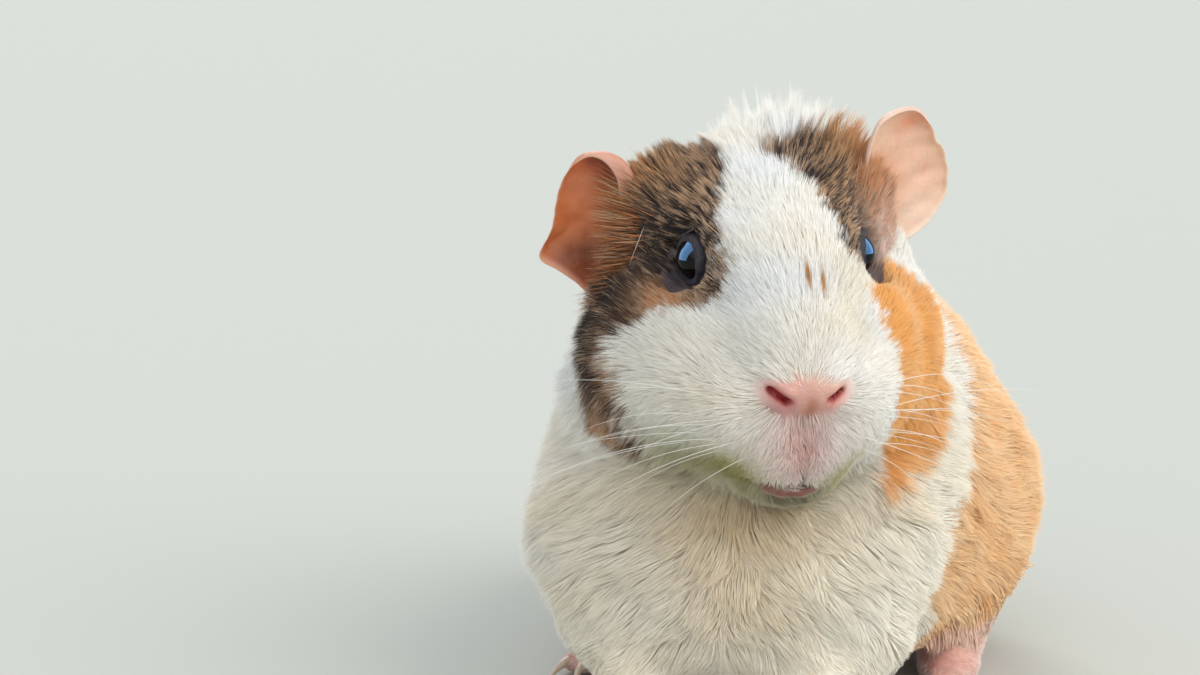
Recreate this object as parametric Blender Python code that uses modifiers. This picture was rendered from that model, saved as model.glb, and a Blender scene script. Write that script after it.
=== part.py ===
"""A guinea pig at life size, sitting up on its forelegs with its head turned a little to its left.

Lengths below are in millimetres and become metres when a shape is made. +Z is up, the animal faces -Y
and its left side is towards +X. The origin is on the floor, at the middle of the model's box.

The flesh is blocked out from ellipsoids, each one a named mass of the body. They are fused, smoothed and
then parted by thin cuts into head, nose, neck, trunk and legs. Paws, ears and eyes are made on their
own, because they are finer than the rest. Every outline is that of the coat's tips.
"""

from math import atan2, cos, exp, hypot, radians, sqrt

import bmesh
import bpy
from mathutils import Matrix, Vector

MM = 0.001
GAP = 0.3  # clearance between neighbouring pieces
SIDES = {"right": -1, "left": 1}

# Pose: the body points a little to its own right, and the head turns back to its left and nods.
BODY_YAW = radians(-15)
HEAD_YAW = radians(9)
HEAD_NOD = radians(13)
HEAD_ROLL = radians(-1)
EYE_HEIGHT = 110
HEAD_SHIFT = 10.2  # the middle of the eyes, to the left of the breast
HEAD_REACH = 10  # and in front of it

# Head
EYE_SPACING = 31  # between the centres of the eyeballs
EYE_RADIUS = 5.3
EYE_TURN = radians(57)  # how far each eye looks outward
NOSE_REACH = 38
CHEEK_WIDTH = 82
CROWN_HEIGHT = 20
EAR_HEIGHT = 31
EAR_WIDTH = 24
EAR_THICKNESS = 1.3

# Body
TRUNK_WIDTH = 110
HAUNCH_WIDTH = 121
BACK_HEIGHT = 102
RUMP_REACH = 150  # from the breast to the hindmost point
FORELEG_SPACING = 40
HINDLEG_SPACING = 80
BELLY_CLEARANCE = 3
WRIST_HEIGHT = 12
ANKLE_HEIGHT = 12

# Colour and roughness of each kind of piece
LOOKS = {
    "head": ((0.84, 0.78, 0.70), 0.80),
    "neck": ((0.86, 0.80, 0.71), 0.85),
    "trunk": ((0.86, 0.78, 0.66), 0.85),
    "foreleg": ((0.86, 0.80, 0.70), 0.80),
    "hindleg": ((0.80, 0.48, 0.24), 0.80),
    "forepaw": ((0.83, 0.56, 0.47), 0.55),
    "hindpaw": ((0.83, 0.56, 0.47), 0.55),
    "ear": ((0.80, 0.48, 0.38), 0.50),
    "nose": ((0.84, 0.56, 0.50), 0.45),
    "eye": ((0.012, 0.010, 0.012), 0.05),
}

WORLD = Matrix.Identity(4)
BODY = Matrix.Rotation(BODY_YAW, 4, "Z")
HEAD = (
    Matrix.Translation(Vector((HEAD_SHIFT, -HEAD_REACH, EYE_HEIGHT)))
    @ Matrix.Rotation(HEAD_YAW, 4, "Z")
    @ Matrix.Rotation(HEAD_NOD, 4, "X")
    @ Matrix.Rotation(HEAD_ROLL, 4, "Y")
)


def clear_scene():
    for obj in list(bpy.data.objects):
        bpy.data.objects.remove(obj)


def new_collection(name):
    made = bpy.data.collections.new(name)
    bpy.context.scene.collection.children.link(made)
    return made


def material(name, colour, roughness):
    made = bpy.data.materials.new(name)
    made.use_nodes = True
    shader = made.node_tree.nodes["Principled BSDF"]
    shader.inputs["Base Color"].default_value = (*colour, 1)
    shader.inputs["Roughness"].default_value = roughness
    shader.inputs["Metallic"].default_value = 0
    return made


def new_object(name, mesh, collection):
    """An object from a bmesh that is in millimetres."""
    data = bpy.data.meshes.new(name)
    mesh.transform(Matrix.Scale(MM, 4))
    mesh.to_mesh(data)
    mesh.free()
    obj = bpy.data.objects.new(name, data)
    collection.objects.link(obj)
    return obj


def applied(obj):
    """Puts an object's modifiers into its mesh."""
    bpy.context.view_layer.update()
    graph = bpy.context.evaluated_depsgraph_get()
    data = bpy.data.meshes.new_from_object(obj.evaluated_get(graph))
    obj.modifiers.clear()
    obj.data = data
    return obj


def copy_of(obj, name, collection):
    made = bpy.data.objects.new(name, obj.data.copy())
    collection.objects.link(made)
    return made


def cut(obj, *tools, operation="DIFFERENCE"):
    """Cuts obj with each tool in turn, or keeps or adds what the operation says."""
    for tool in tools:
        boolean = obj.modifiers.new("cut", "BOOLEAN")
        boolean.operation = operation
        boolean.object = tool
        applied(obj)
    return obj


def fused(obj, voxel, rounds):
    """One closed skin over overlapping shapes, smoothed where they meet."""
    remesh = obj.modifiers.new("fuse", "REMESH")
    remesh.mode = "VOXEL"
    remesh.voxel_size = voxel * MM
    smooth = obj.modifiers.new("smooth", "SMOOTH")
    smooth.factor = 0.5
    smooth.iterations = rounds
    return applied(obj)


def thinned(obj, triangles, weight=None):
    """Fewer triangles. Where weight() of a point is low, more of them stay."""
    obj.data.calc_loop_triangles()
    decimate = obj.modifiers.new("thin", "DECIMATE")
    decimate.ratio = triangles / len(obj.data.loop_triangles)
    if weight:
        group = obj.vertex_groups.new(name="thin")
        for vertex in obj.data.vertices:
            group.add([vertex.index], weight(vertex.co / MM), "REPLACE")
        decimate.vertex_group = "thin"
        decimate.vertex_group_factor = 1
    return applied(obj)


# The masses of the flesh


def mass(mesh, frame, centre, radii, tilt=0.0, segments=24):
    """Adds an ellipsoid. tilt lifts its front end, in degrees."""
    place = frame @ Matrix.Translation(Vector(centre)) @ Matrix.Rotation(radians(-tilt), 4, "X")
    size = Matrix.Diagonal((*radii, 1.0))
    bmesh.ops.create_uvsphere(
        mesh, u_segments=segments, v_segments=segments * 2 // 3, radius=1.0, matrix=place @ size
    )


def both_sides(mesh, frame, centre, radii, tilt=0.0):
    """A pair of masses, one on each side of the midline."""
    x, y, z = centre
    for side in SIDES.values():
        mass(mesh, frame, (side * x, y, z), radii, tilt)


def head_masses(mesh):
    half = CHEEK_WIDTH / 2
    mass(mesh, HEAD, (0, 19, -1), (29, 25, CROWN_HEIGHT + 1))  # cranium
    mass(mesh, HEAD, (0, -5, 1), (17, 23, 13), tilt=-12)  # forehead
    mass(mesh, HEAD, (0, -19, -8), (14, 18, 12), tilt=-20)  # bridge of the nose
    mass(mesh, HEAD, (0, 7 - NOSE_REACH, -14.5), (10.5, 7, 8))  # nose
    mass(mesh, HEAD, (0, 2, -22), (34, 33, 26))  # muzzle and jaws
    both_sides(mesh, HEAD, (9, -22, -23), (12, 12, 13))  # whisker pads
    both_sides(mesh, HEAD, (5, -26, -29), (8, 8, 10))  # upper lips
    mass(mesh, HEAD, (0, -18, -38), (13, 12, 10))  # chin
    both_sides(mesh, HEAD, (half - 20, 12, -26), (20, 23, 24))  # cheeks
    both_sides(mesh, HEAD, (20, 22, 5), (12, 12, 12))  # behind the eyes, to the ears
    both_sides(mesh, HEAD, (12, 1, 6), (6, 9, 6))  # brows


def neck_masses(mesh):
    mass(mesh, WORLD, (12, 22, 96), (32, 28, 37))  # nape
    mass(mesh, WORLD, (15, 29, 118), (19, 26, 20.5))  # crest of longer hair on the nape
    mass(mesh, WORLD, (14, 54, 78), (34, 40, 42))  # withers
    mass(mesh, WORLD, (5, 20, 74), (43, 24, 32))  # front of the neck


def trunk_masses(mesh):
    half = TRUNK_WIDTH / 2
    mass(mesh, BODY, (-2, 17, 45), (49, 30, 36))  # breast
    mass(mesh, BODY, (0, 38, 56), (50, 40, 46))  # shoulders
    mass(mesh, BODY, (0, 72, 46), (half, 66, BACK_HEIGHT - 44), tilt=10)  # ribs and back
    mass(mesh, BODY, (0, RUMP_REACH - 48, 46), (51, 48, 50))  # rump
    haunch = HAUNCH_WIDTH / 2
    both_sides(mesh, BODY, (haunch - 24, 92, 38), (24, 38, 32))  # thighs
    both_sides(mesh, BODY, (HINDLEG_SPACING / 2, 82, 14), (12, 26, 14))  # shanks
    fore = FORELEG_SPACING / 2
    both_sides(mesh, BODY, (fore + 6, 12, 34), (16, 18, 24))  # upper arms
    both_sides(mesh, BODY, (fore, 1, 16), (9, 10, 20))  # forearms


def face_share(point):
    """0 in the face, rising to 1 behind the ears."""
    depth = (HEAD.inverted() @ point).y
    return min(1, max(0, (depth - 8) / 28))


def lift_belly(obj):
    """Presses what hangs low up towards BELLY_CLEARANCE, so that the belly is broad and clears the floor."""
    start = 22
    depth = start - BELLY_CLEARANCE
    for vertex in obj.data.vertices:
        below = start - vertex.co.z / MM
        if below > 0:
            vertex.co.z = (start - depth * (1 - exp(-below / depth))) * MM


def flesh(collection):
    """The whole animal but for its paws, ears and eyes, in one piece."""
    mesh = bmesh.new()
    head_masses(mesh)
    neck_masses(mesh)
    trunk_masses(mesh)
    body = fused(new_object("flesh", mesh, collection), 2.0, 8)
    lift_belly(body)
    soft = body.vertex_groups.new(name="soft")
    for vertex in body.data.vertices:
        soft.add([vertex.index], 0.15 + 0.85 * face_share(vertex.co / MM), "REPLACE")
    soften = body.modifiers.new("soften", "SMOOTH")
    soften.vertex_group = "soft"
    soften.factor = 0.5
    soften.iterations = 40
    applied(body)
    return thinned(body, 2700, lambda point: 0.7 + 0.3 * face_share(point))


# Cutters


def ellipsoid(name, frame, centre, radii, collection, grow=0.0):
    mesh = bmesh.new()
    mass(mesh, frame, centre, [r + grow for r in radii], segments=16)
    return new_object(name, mesh, collection)


def sliced(obj, point, normal, shift=0.0):
    """Keeps what is on the side of a plane that its normal points to, and closes the cut."""
    normal = Vector(normal).normalized()
    mesh = bmesh.new()
    mesh.from_mesh(obj.data)
    found = bmesh.ops.bisect_plane(
        mesh,
        geom=mesh.verts[:] + mesh.edges[:] + mesh.faces[:],
        dist=1e-7,
        plane_co=(Vector(point) + shift * normal) * MM,
        plane_no=normal,
        clear_inner=True,
    )
    rim = [edge for edge in found["geom_cut"] if isinstance(edge, bmesh.types.BMEdge)]
    bmesh.ops.triangle_fill(mesh, use_beauty=True, edges=rim, normal=-normal)
    mesh.to_mesh(obj.data)
    mesh.free()
    return obj


# Pieces made on their own


def eye(name, side, collection, grow=0.0):
    centre = (side * EYE_SPACING / 2, 0, 0)
    mesh = bmesh.new()
    mass(mesh, HEAD, centre, [EYE_RADIUS + grow] * 3, segments=14)
    return new_object(name, mesh, collection)


def eye_hollow(name, side, collection):
    """Opens the coat in front of the eyeball."""
    turn = Matrix.Rotation(side * EYE_TURN, 4, "Z") @ Matrix.Rotation(radians(90), 4, "X")
    frame = HEAD @ Matrix.Translation((side * EYE_SPACING / 2, 0, 0)) @ turn
    mesh = bmesh.new()
    mass(mesh, frame, (0, 0, 6.0), (7.5, 7.5, 4.5), segments=14)
    return new_object(name, mesh, collection)


def ear(name, side, collection, place, turn, lean, nod, curl, grow=0.0):
    """A thin cupped petal. Its root is the inner edge, which stands in the head."""
    count = 8
    mesh = bmesh.new()
    bmesh.ops.create_grid(mesh, x_segments=count, y_segments=count, size=1.0)
    for vertex in mesh.verts:
        a, b = vertex.co.x, vertex.co.y
        x, z = a * sqrt(1 - b * b / 2), b * sqrt(1 - a * a / 2)
        angle, reach = atan2(z, x), hypot(x, z)
        lobe = 1 - 0.09 * max(0, cos(3 * (angle - radians(38))))  # a shallow notch in the rim
        x, z = x * lobe * (EAR_WIDTH / 2 + grow), z * lobe * (EAR_HEIGHT / 2 + grow)
        cup = -0.2 * reach**2 * EAR_HEIGHT / 2 * (1 - 0.7 * cos(angle))
        fold = -curl * max(0, z / EAR_HEIGHT * 2) ** 2
        vertex.co = Vector((side * x, cup + fold, z - 0.35 * abs(fold)))
    if side < 0:
        bmesh.ops.reverse_faces(mesh, faces=mesh.faces)
    local = (
        Matrix.Translation(Vector(place))
        @ Matrix.Rotation(side * radians(turn), 4, "Z")
        @ Matrix.Rotation(-side * radians(lean), 4, "Y")
        @ Matrix.Rotation(radians(nod), 4, "X")
    )
    mesh.transform(HEAD @ local)
    obj = new_object(name, mesh, collection)
    solidify = obj.modifiers.new("thickness", "SOLIDIFY")
    solidify.thickness = (EAR_THICKNESS + 2 * grow) * MM
    solidify.offset = 0
    return applied(obj)


EARS = {
    "left": dict(place=(33.5, 23, 9), turn=28, lean=-6, nod=-4, curl=1),
    "right": dict(place=(-35, 22, 4), turn=18, lean=36, nod=4, curl=6),
}


def digits(mesh, frame, angles, length, radius, claw, claws):
    """Toes that fan out from the frame's origin, and a list of where their claws go."""
    for angle in angles:
        turned = frame @ Matrix.Rotation(radians(angle), 4, "Z")
        mass(mesh, turned, (0, -length * 0.45, radius + 0.6), (radius, length * 0.55, radius), tilt=-4)
        mass(mesh, turned, (0, -length * 0.85, radius), (radius * 0.95, length * 0.25, radius))
        claws.append(turned @ Matrix.Translation((0, -length, radius * 0.8)))


def add_claws(paw, places, length, radius, collection):
    for index, place in enumerate(places):
        mesh = bmesh.new()
        bmesh.ops.create_cone(
            mesh, segments=6, radius1=radius, radius2=radius * 0.3, depth=length, cap_ends=True
        )
        lay = Matrix.Translation((0, -length * 0.3, 0)) @ Matrix.Rotation(radians(82), 4, "X")
        mesh.transform(place @ lay)
        claw = new_object(f"claw_{index}", mesh, collection)
        cut(paw, claw, operation="UNION")
        bpy.data.objects.remove(claw)


def standing(side, spacing, back, toe_out):
    """The frame of a paw on the floor, its toes turned outward by toe_out degrees."""
    return (
        BODY
        @ Matrix.Translation((side * spacing / 2, back, 0))
        @ Matrix.Rotation(side * radians(toe_out), 4, "Z")
    )


def forepaw(name, side, collection):
    frame = standing(side, FORELEG_SPACING, -3, 6)
    mesh = bmesh.new()
    mass(mesh, frame, (0, 4, 11), (7.6, 8.4, 10))
    mass(mesh, frame, (0, 0, 4), (7, 8.5, 5.2))
    claws = []
    front = frame @ Matrix.Translation((0, -2, 0))
    digits(mesh, front, (-30, -10, 10, 30), 10.5, 2.1, 5, claws)
    paw = thinned(fused(new_object(name, mesh, collection), 0.8, 3), 270)
    add_claws(paw, claws, 6.0, 1.1, collection)
    return paw


def hindpaw(name, side, collection):
    frame = standing(side, HINDLEG_SPACING, 70, 7)
    mesh = bmesh.new()
    mass(mesh, frame, (0, 8, 9), (9, 20, 9))
    mass(mesh, frame, (0, -2, 4), (7.5, 17, 5.5))
    claws = []
    front = frame @ Matrix.Translation((0, -12, 0))
    digits(mesh, front, (-20, 0, 20), 13, 2.7, 7, claws)
    paw = thinned(fused(new_object(name, mesh, collection), 0.9, 3), 270)
    add_claws(paw, claws, 8.0, 1.4, collection)
    return paw


def rest_on_origin(objects):
    """Moves the whole model so that the origin is at the bottom centre of its box."""
    points = [vertex.co for obj in objects for vertex in obj.data.vertices]
    low = Vector([min(point[axis] for point in points) for axis in range(3)])
    high = Vector([max(point[axis] for point in points) for axis in range(3)])
    middle = (low + high) / 2
    for obj in objects:
        obj.data.transform(Matrix.Translation((-middle.x, -middle.y, -low.z)))


def main():
    clear_scene()
    parts = new_collection("guinea_pig")
    cutters = new_collection("cutters")
    whole = flesh(cutters)

    head_shape = ((0, -10, -6), (58, 47, 47))
    head_tool = ellipsoid("head_tool", HEAD, *head_shape, cutters)
    head_room = ellipsoid("head_room", HEAD, *head_shape, cutters, GAP)
    head = cut(copy_of(whole, "head", parts), head_tool, operation="INTERSECT")
    rest = cut(copy_of(whole, "trunk", parts), head_room)

    pieces = {"head": head}
    for word, side in SIDES.items():
        pieces[f"eye_{word}"] = eye(f"eye_{word}", side, parts)
        cut(head, eye(f"eye_room_{word}", side, cutters, GAP))
        cut(head, eye_hollow(f"eye_hollow_{word}", side, cutters))
        pieces[f"ear_{word}"] = ear(f"ear_{word}", side, parts, **EARS[word])
        ear_room = ear(f"ear_room_{word}", side, cutters, grow=GAP, **EARS[word])
        cut(head, ear_room)
        cut(rest, ear_room)

    nose_shape = ((0, 1 - NOSE_REACH, -14), (9.5, 8, 7.5))
    nose_tool = ellipsoid("nose_tool", HEAD, *nose_shape, cutters)
    nose_room = ellipsoid("nose_room", HEAD, *nose_shape, cutters, GAP)
    pieces["nose"] = cut(copy_of(head, "nose", parts), nose_tool, operation="INTERSECT")
    cut(head, nose_room)

    base = (10, -20, 60)
    slope = Vector((0, -0.587, 0.81))
    pieces["neck"] = sliced(copy_of(rest, "neck", parts), base, slope, GAP / 2)
    trunk = sliced(rest, base, -slope, GAP / 2)
    pieces["trunk"] = trunk

    leg_shapes = {
        "foreleg": ((25, 9, 22), (18, 23, 32), WRIST_HEIGHT),
        "hindleg": ((47, 92, 28), (23, 43, 39), ANKLE_HEIGHT),
    }
    paw_makers = {"foreleg": ("forepaw", forepaw), "hindleg": ("hindpaw", hindpaw)}
    up = Vector((0, 0, 1))
    for limb, (centre, radii, joint) in leg_shapes.items():
        for word, side in SIDES.items():
            place = (side * centre[0], centre[1], centre[2])
            name = f"{limb}_{word}"
            tool = ellipsoid(f"{name}_tool", BODY, place, radii, cutters)
            room = ellipsoid(f"{name}_room", BODY, place, radii, cutters, GAP)
            leg = cut(copy_of(whole, name, parts), tool, operation="INTERSECT")
            sliced(leg, joint * up, up, GAP / 2)
            cut(trunk, room)
            pieces[name] = leg
            paw_name, maker = paw_makers[limb]
            paw = maker(f"{paw_name}_{word}", side, parts)
            sliced(paw, 0 * up, up)
            sliced(paw, joint * up, -up, GAP / 2)
            pieces[paw.name] = paw

    rest_on_origin(pieces.values())
    for obj in cutters.objects:
        obj.hide_render = True
        obj.display_type = "WIRE"
    for name, obj in pieces.items():
        obj.data.materials.clear()
        obj.data.materials.append(material(name, *LOOKS[name.split("_")[0]]))


main()
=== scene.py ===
"""The looks of the guinea pig: skin, eyes, ears, claws, whiskers and a coat of modelled hair.

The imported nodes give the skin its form, and the two eyes give every frame its place. Each helper works in one
of three frames: the world's in metres, and the head's and the body's in millimetres. In the head's frame the
origin lies midway between the eyes, +X is the animal's left, +Y points away from the nose and +Z is up.
The body's frame stands on the floor under the breast, with +Y towards the rump.
"""

from math import cos, pi, radians, sin

import bmesh
import bpy
import numpy as np
from mathutils import Matrix, Vector
from mathutils.bvhtree import BVHTree
from mathutils.kdtree import KDTree


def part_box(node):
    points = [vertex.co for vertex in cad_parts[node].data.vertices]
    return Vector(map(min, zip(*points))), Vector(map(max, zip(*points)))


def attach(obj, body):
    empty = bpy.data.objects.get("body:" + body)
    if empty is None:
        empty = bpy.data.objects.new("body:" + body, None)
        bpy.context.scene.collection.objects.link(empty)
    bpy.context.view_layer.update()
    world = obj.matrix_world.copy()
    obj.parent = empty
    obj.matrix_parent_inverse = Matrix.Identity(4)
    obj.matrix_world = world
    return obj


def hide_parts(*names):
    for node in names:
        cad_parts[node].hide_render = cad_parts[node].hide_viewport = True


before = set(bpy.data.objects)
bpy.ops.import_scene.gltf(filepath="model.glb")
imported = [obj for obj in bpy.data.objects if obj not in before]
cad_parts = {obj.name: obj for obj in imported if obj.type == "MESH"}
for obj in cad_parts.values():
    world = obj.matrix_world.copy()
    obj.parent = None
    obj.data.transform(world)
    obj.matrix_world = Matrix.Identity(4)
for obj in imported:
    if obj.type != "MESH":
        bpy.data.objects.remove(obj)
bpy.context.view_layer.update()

MM = 0.001
SIDES = {"right": -1, "left": 1}
FLESH = ["head", "nose", "neck", "trunk"]
LIMBS = [f"{limb}_{word}" for limb in ("foreleg", "hindleg") for word in SIDES]
PAWS = [f"{paw}_{word}" for paw in ("forepaw", "hindpaw") for word in SIDES]

# Pose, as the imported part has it
BODY_YAW = radians(-15)
HEAD_YAW = radians(9)
HEAD_NOD = radians(13)
HEAD_ROLL = radians(-1)
EYES_OVER_BREAST = Vector((10.2, -10, 110)) * MM
EYE_SPACING = 31
EYE_RADIUS = 5.3
EYE_TURN = radians(57)
FORELEG_SPACING = 40
HINDLEG_SPACING = 80
NOSE_TIP = np.array((-0.5, -37, -15))

# Colours, in sRGB
WHITE = (250, 249, 246)
CREAM = (250, 240, 220)
WARM_CREAM = (236, 212, 172)
STAIN = (168, 160, 86)
OLIVE_STAIN_AND_SHADE = (134, 126, 82)
ORANGE = (246, 180, 100)
PALE_ORANGE = (252, 214, 168)
GINGER = (214, 146, 96)
TAN = (230, 196, 164)
GOLD = (228, 174, 120)
BROWN = (86, 58, 46)
DARK = (26, 20, 21)
PALE_GINGER = (238, 196, 156)
TEMPLE_BASE = (186, 156, 140)
TEMPLE_TIP = (228, 202, 188)
FLECK_TIP = (196, 144, 88)
FRINGE_TIP = (222, 140, 80)
EYE_CORNER_BASE = (60, 52, 58)
EYE_CORNER_TIP = (116, 106, 112)
FOOT_BASE = (232, 186, 174)
FOOT_TIP = (242, 214, 204)
WHISKER = (250, 248, 242)
PINK = (226, 170, 158)
MAUVE = (190, 140, 140)
PALE_PINK = (238, 208, 200)
NOSE_BRIDGE = (222, 192, 166)
NOSE_CLEFT = (186, 116, 84)
NOSTRIL_RIM = (206, 96, 92)
NOSTRIL = (150, 28, 32)
SPLIT_LIP_AND_SHADE = (120, 72, 62)
LIP = (136, 86, 76)
MOUTH_SHADE = (44, 16, 14)
PAW_MOTTLE = (204, 132, 124)
SOLE = (206, 140, 132)
LID = (36, 33, 44)
PALE_LID = (70, 60, 66)
LOWER_LID = (76, 74, 96)
PUPIL = (4, 4, 5)
IRIS = (14, 9, 9)
EYE_WHITE = (150, 120, 116)
UNDER_FLAP = (120, 54, 30)
FLAP_BACK = (210, 158, 142)
HORN = (214, 186, 164)
PALE_HORN = (240, 222, 204)

HAIRS = 476000
HAIRS_IN_A_PIECE = 64000
SKIN_TRIANGLES = 110000

rng = np.random.default_rng(11)


def linear(colour):
    """An sRGB colour from 0 to 255 as linear values from 0 to 1."""
    value = np.asarray(colour, float) / 255
    return np.where(value <= 0.04045, value / 12.92, ((value + 0.055) / 1.055) ** 2.4)


def unit(vectors):
    return vectors / np.maximum(np.linalg.norm(vectors, axis=-1, keepdims=True), 1e-12)


def step(value, low, high):
    """0 below low, 1 above high, smooth between. low may be the larger."""
    share = np.clip((value - low) / (high - low), 0, 1)
    return share * share * (3 - 2 * share)


def mix(a, b, share):
    return a + (b - a) * share


def tint(colours, other, share):
    """Colours, or one colour, turned towards others by a share for each point."""
    return colours + (other - colours) * np.asarray(share)[:, None]


def spot(points, centre, radii):
    """1 at a centre, falling off softly as an ellipsoid."""
    return np.exp(-(((points - np.asarray(centre, float)) / np.asarray(radii, float)) ** 2).sum(1))


def spots(points, *marks):
    """The sum of several soft spots, each given by its centre, radii and weight."""
    return sum(spot(points, centre, radii) * weight for centre, radii, weight in marks)


def daubed(colours, points, *marks):
    """Colours with soft spots of others over them, each with its colour, centre, radii and strength."""
    for colour, centre, radii, strength in marks:
        colours = tint(colours, linear(colour), spot(points, centre, radii) * strength)
    return colours


def past(value, edge, half):
    """0 below an edge and 1 above it, soft over half on each side. A negative half turns it round."""
    return step(value, edge - half, edge + half)


def wander(points, size, seed, waves=5):
    """Smooth noise from about -1 to 1 with features of this size, made of crossing waves."""
    draw = np.random.default_rng(seed)
    axes = unit(draw.normal(size=(waves, 3))) * (2 * pi / size) * draw.uniform(0.6, 1.5, (waves, 1))
    phase = draw.uniform(0, 2 * pi, waves)
    return np.sin(points @ axes.T + phase).sum(1) / np.sqrt(waves / 2) / 1.6


# Frames


def middle(node):
    low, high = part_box(node)
    return (Vector(low) + Vector(high)) / 2


EYES = (middle("eye_left") + middle("eye_right")) / 2
HEAD = (
    Matrix.Translation(EYES)
    @ Matrix.Rotation(HEAD_YAW, 4, "Z")
    @ Matrix.Rotation(HEAD_NOD, 4, "X")
    @ Matrix.Rotation(HEAD_ROLL, 4, "Y")
)
BODY = Matrix.Translation(EYES - EYES_OVER_BREAST) @ Matrix.Rotation(BODY_YAW, 4, "Z")


def turn_of(place):
    return np.array(place.to_3x3())


def into(points, place):
    """World points in metres as points in a frame, in millimetres."""
    return (points - np.array(place.translation)) @ turn_of(place) / MM


def out_of(points, place):
    return np.asarray(points, float) * MM @ turn_of(place).T + np.array(place.translation)


# Meshes


def points_of(mesh):
    flat = np.empty(len(mesh.vertices) * 3, np.float32)
    mesh.vertices.foreach_get("co", flat)
    return flat.reshape(-1, 3).astype(float)


def normals_of(mesh):
    flat = np.empty(len(mesh.vertices) * 3, np.float32)
    mesh.vertices.foreach_get("normal", flat)
    return flat.reshape(-1, 3).astype(float)


def set_points(mesh, points):
    mesh.vertices.foreach_set("co", points.astype(np.float32).ravel())
    mesh.update()


def new_object(name, mesh):
    obj = bpy.data.objects.new(name, mesh)
    bpy.context.scene.collection.objects.link(obj)
    return obj


def applied(obj):
    """Puts an object's modifiers into its mesh."""
    bpy.context.view_layer.update()
    graph = bpy.context.evaluated_depsgraph_get()
    data = bpy.data.meshes.new_from_object(obj.evaluated_get(graph))
    obj.modifiers.clear()
    obj.data = data


def paint(mesh, colours):
    """A colour at each vertex, which the materials read."""
    layer = mesh.color_attributes.new("coat", "FLOAT_COLOR", "POINT")
    rgba = np.ones((len(colours), 4), np.float32)
    rgba[:, :3] = colours
    layer.data.foreach_set("color", rgba.ravel())


def finish_piece(obj, slot, material, *replaced):
    """Gives a piece its material and its body, and hides the nodes that it stands for. slot is not used."""
    obj.data.materials.clear()
    obj.data.materials.append(material)
    obj.data.polygons.foreach_set("use_smooth", np.ones(len(obj.data.polygons), bool))
    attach(obj, "root")
    if replaced:
        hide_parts(*replaced)
    return obj


def grid_mesh(name, rows, caps=False):
    """A sheet of quads through rows of world points, each row closed into a ring."""
    count, across = rows.shape[:2]
    row = np.arange(count - 1)[:, None] * across
    column = np.arange(across)[None, :]
    after = (column + 1) % across
    quads = np.stack([row + column, row + after, row + across + after, row + across + column], -1)
    faces = quads.reshape(-1, 4).tolist()
    if caps:
        faces.append(list(range(across))[::-1])
        faces.append([(count - 1) * across + k for k in range(across)])
    mesh = bpy.data.meshes.new(name)
    mesh.from_pydata(rows.reshape(-1, 3).tolist(), [], faces)
    return mesh


# Markings


# Edges of the white blaze, as how far to the left they lie at each height on the face
RIGHT_EDGE_Z = (-24.5, -18.5, -14.5, -10, -6.6, -3.7, -1.5, 6.3, 10.5, 14.7, 18)
RIGHT_EDGE_X = (-38, -36.3, -33.5, -28.9, -24.3, -17.2, -14.6, -13.8, -13.1, -10.6, -9.4)
LEFT_EDGE_Z = (-47.7, -43.9, -32.5, -23.8, -19, -13.1, -8.6, -5.5, -3.2, -0.9, 6.8, 10.9, 14.6, 17.6, 18.8)
LEFT_EDGE_X = (23.4, 24.3, 22.6, 22, 22.8, 22.2, 20, 18.8, 18.2, 17.4, 12.1, 10.4, 8.6, 4.2, -1.5)
# How far back the dark patches reach: behind the right cheek by height, and over the crown from right to left
DARK_BACK_Z = (-46, -43, -16, -4, 8)
DARK_BACK_Y = (3, 11, 15, 32, 46)
CROWN_BACK_X = (-36, -20, -13, -8, 0, 10, 16, 22, 30)
CROWN_BACK_Y = (44, 42, 27, 20, 18, 23, 30, 38, 42)
# How high the orange of the left cheek reaches, from front to back, and how far back, by height
CHEEK_TOP_Y = (-12, -6, 0, 20)
CHEEK_TOP_Z = (1.5, -0.5, -2.4, -1.4)
ORANGE_BACK_Z = (-52, -50.9, -48.2, -44.7, -41, -24, -15, -7, -3, 0)
ORANGE_BACK_Y = (-12, -5, 3.4, 10.9, 18.8, 15, 8, 5, 3, 0)
# The front edge of the orange on the left flank, from the floor up
FLANK_Z = (0, 46, 63, 80, 100)
FLANK_Y = (36, 36, 41, 65, 84)
# Two ginger flecks on the blaze
FLECKS = ((1.3, -23.4, 5.3), (4.4, -24, 4.0))


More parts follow.
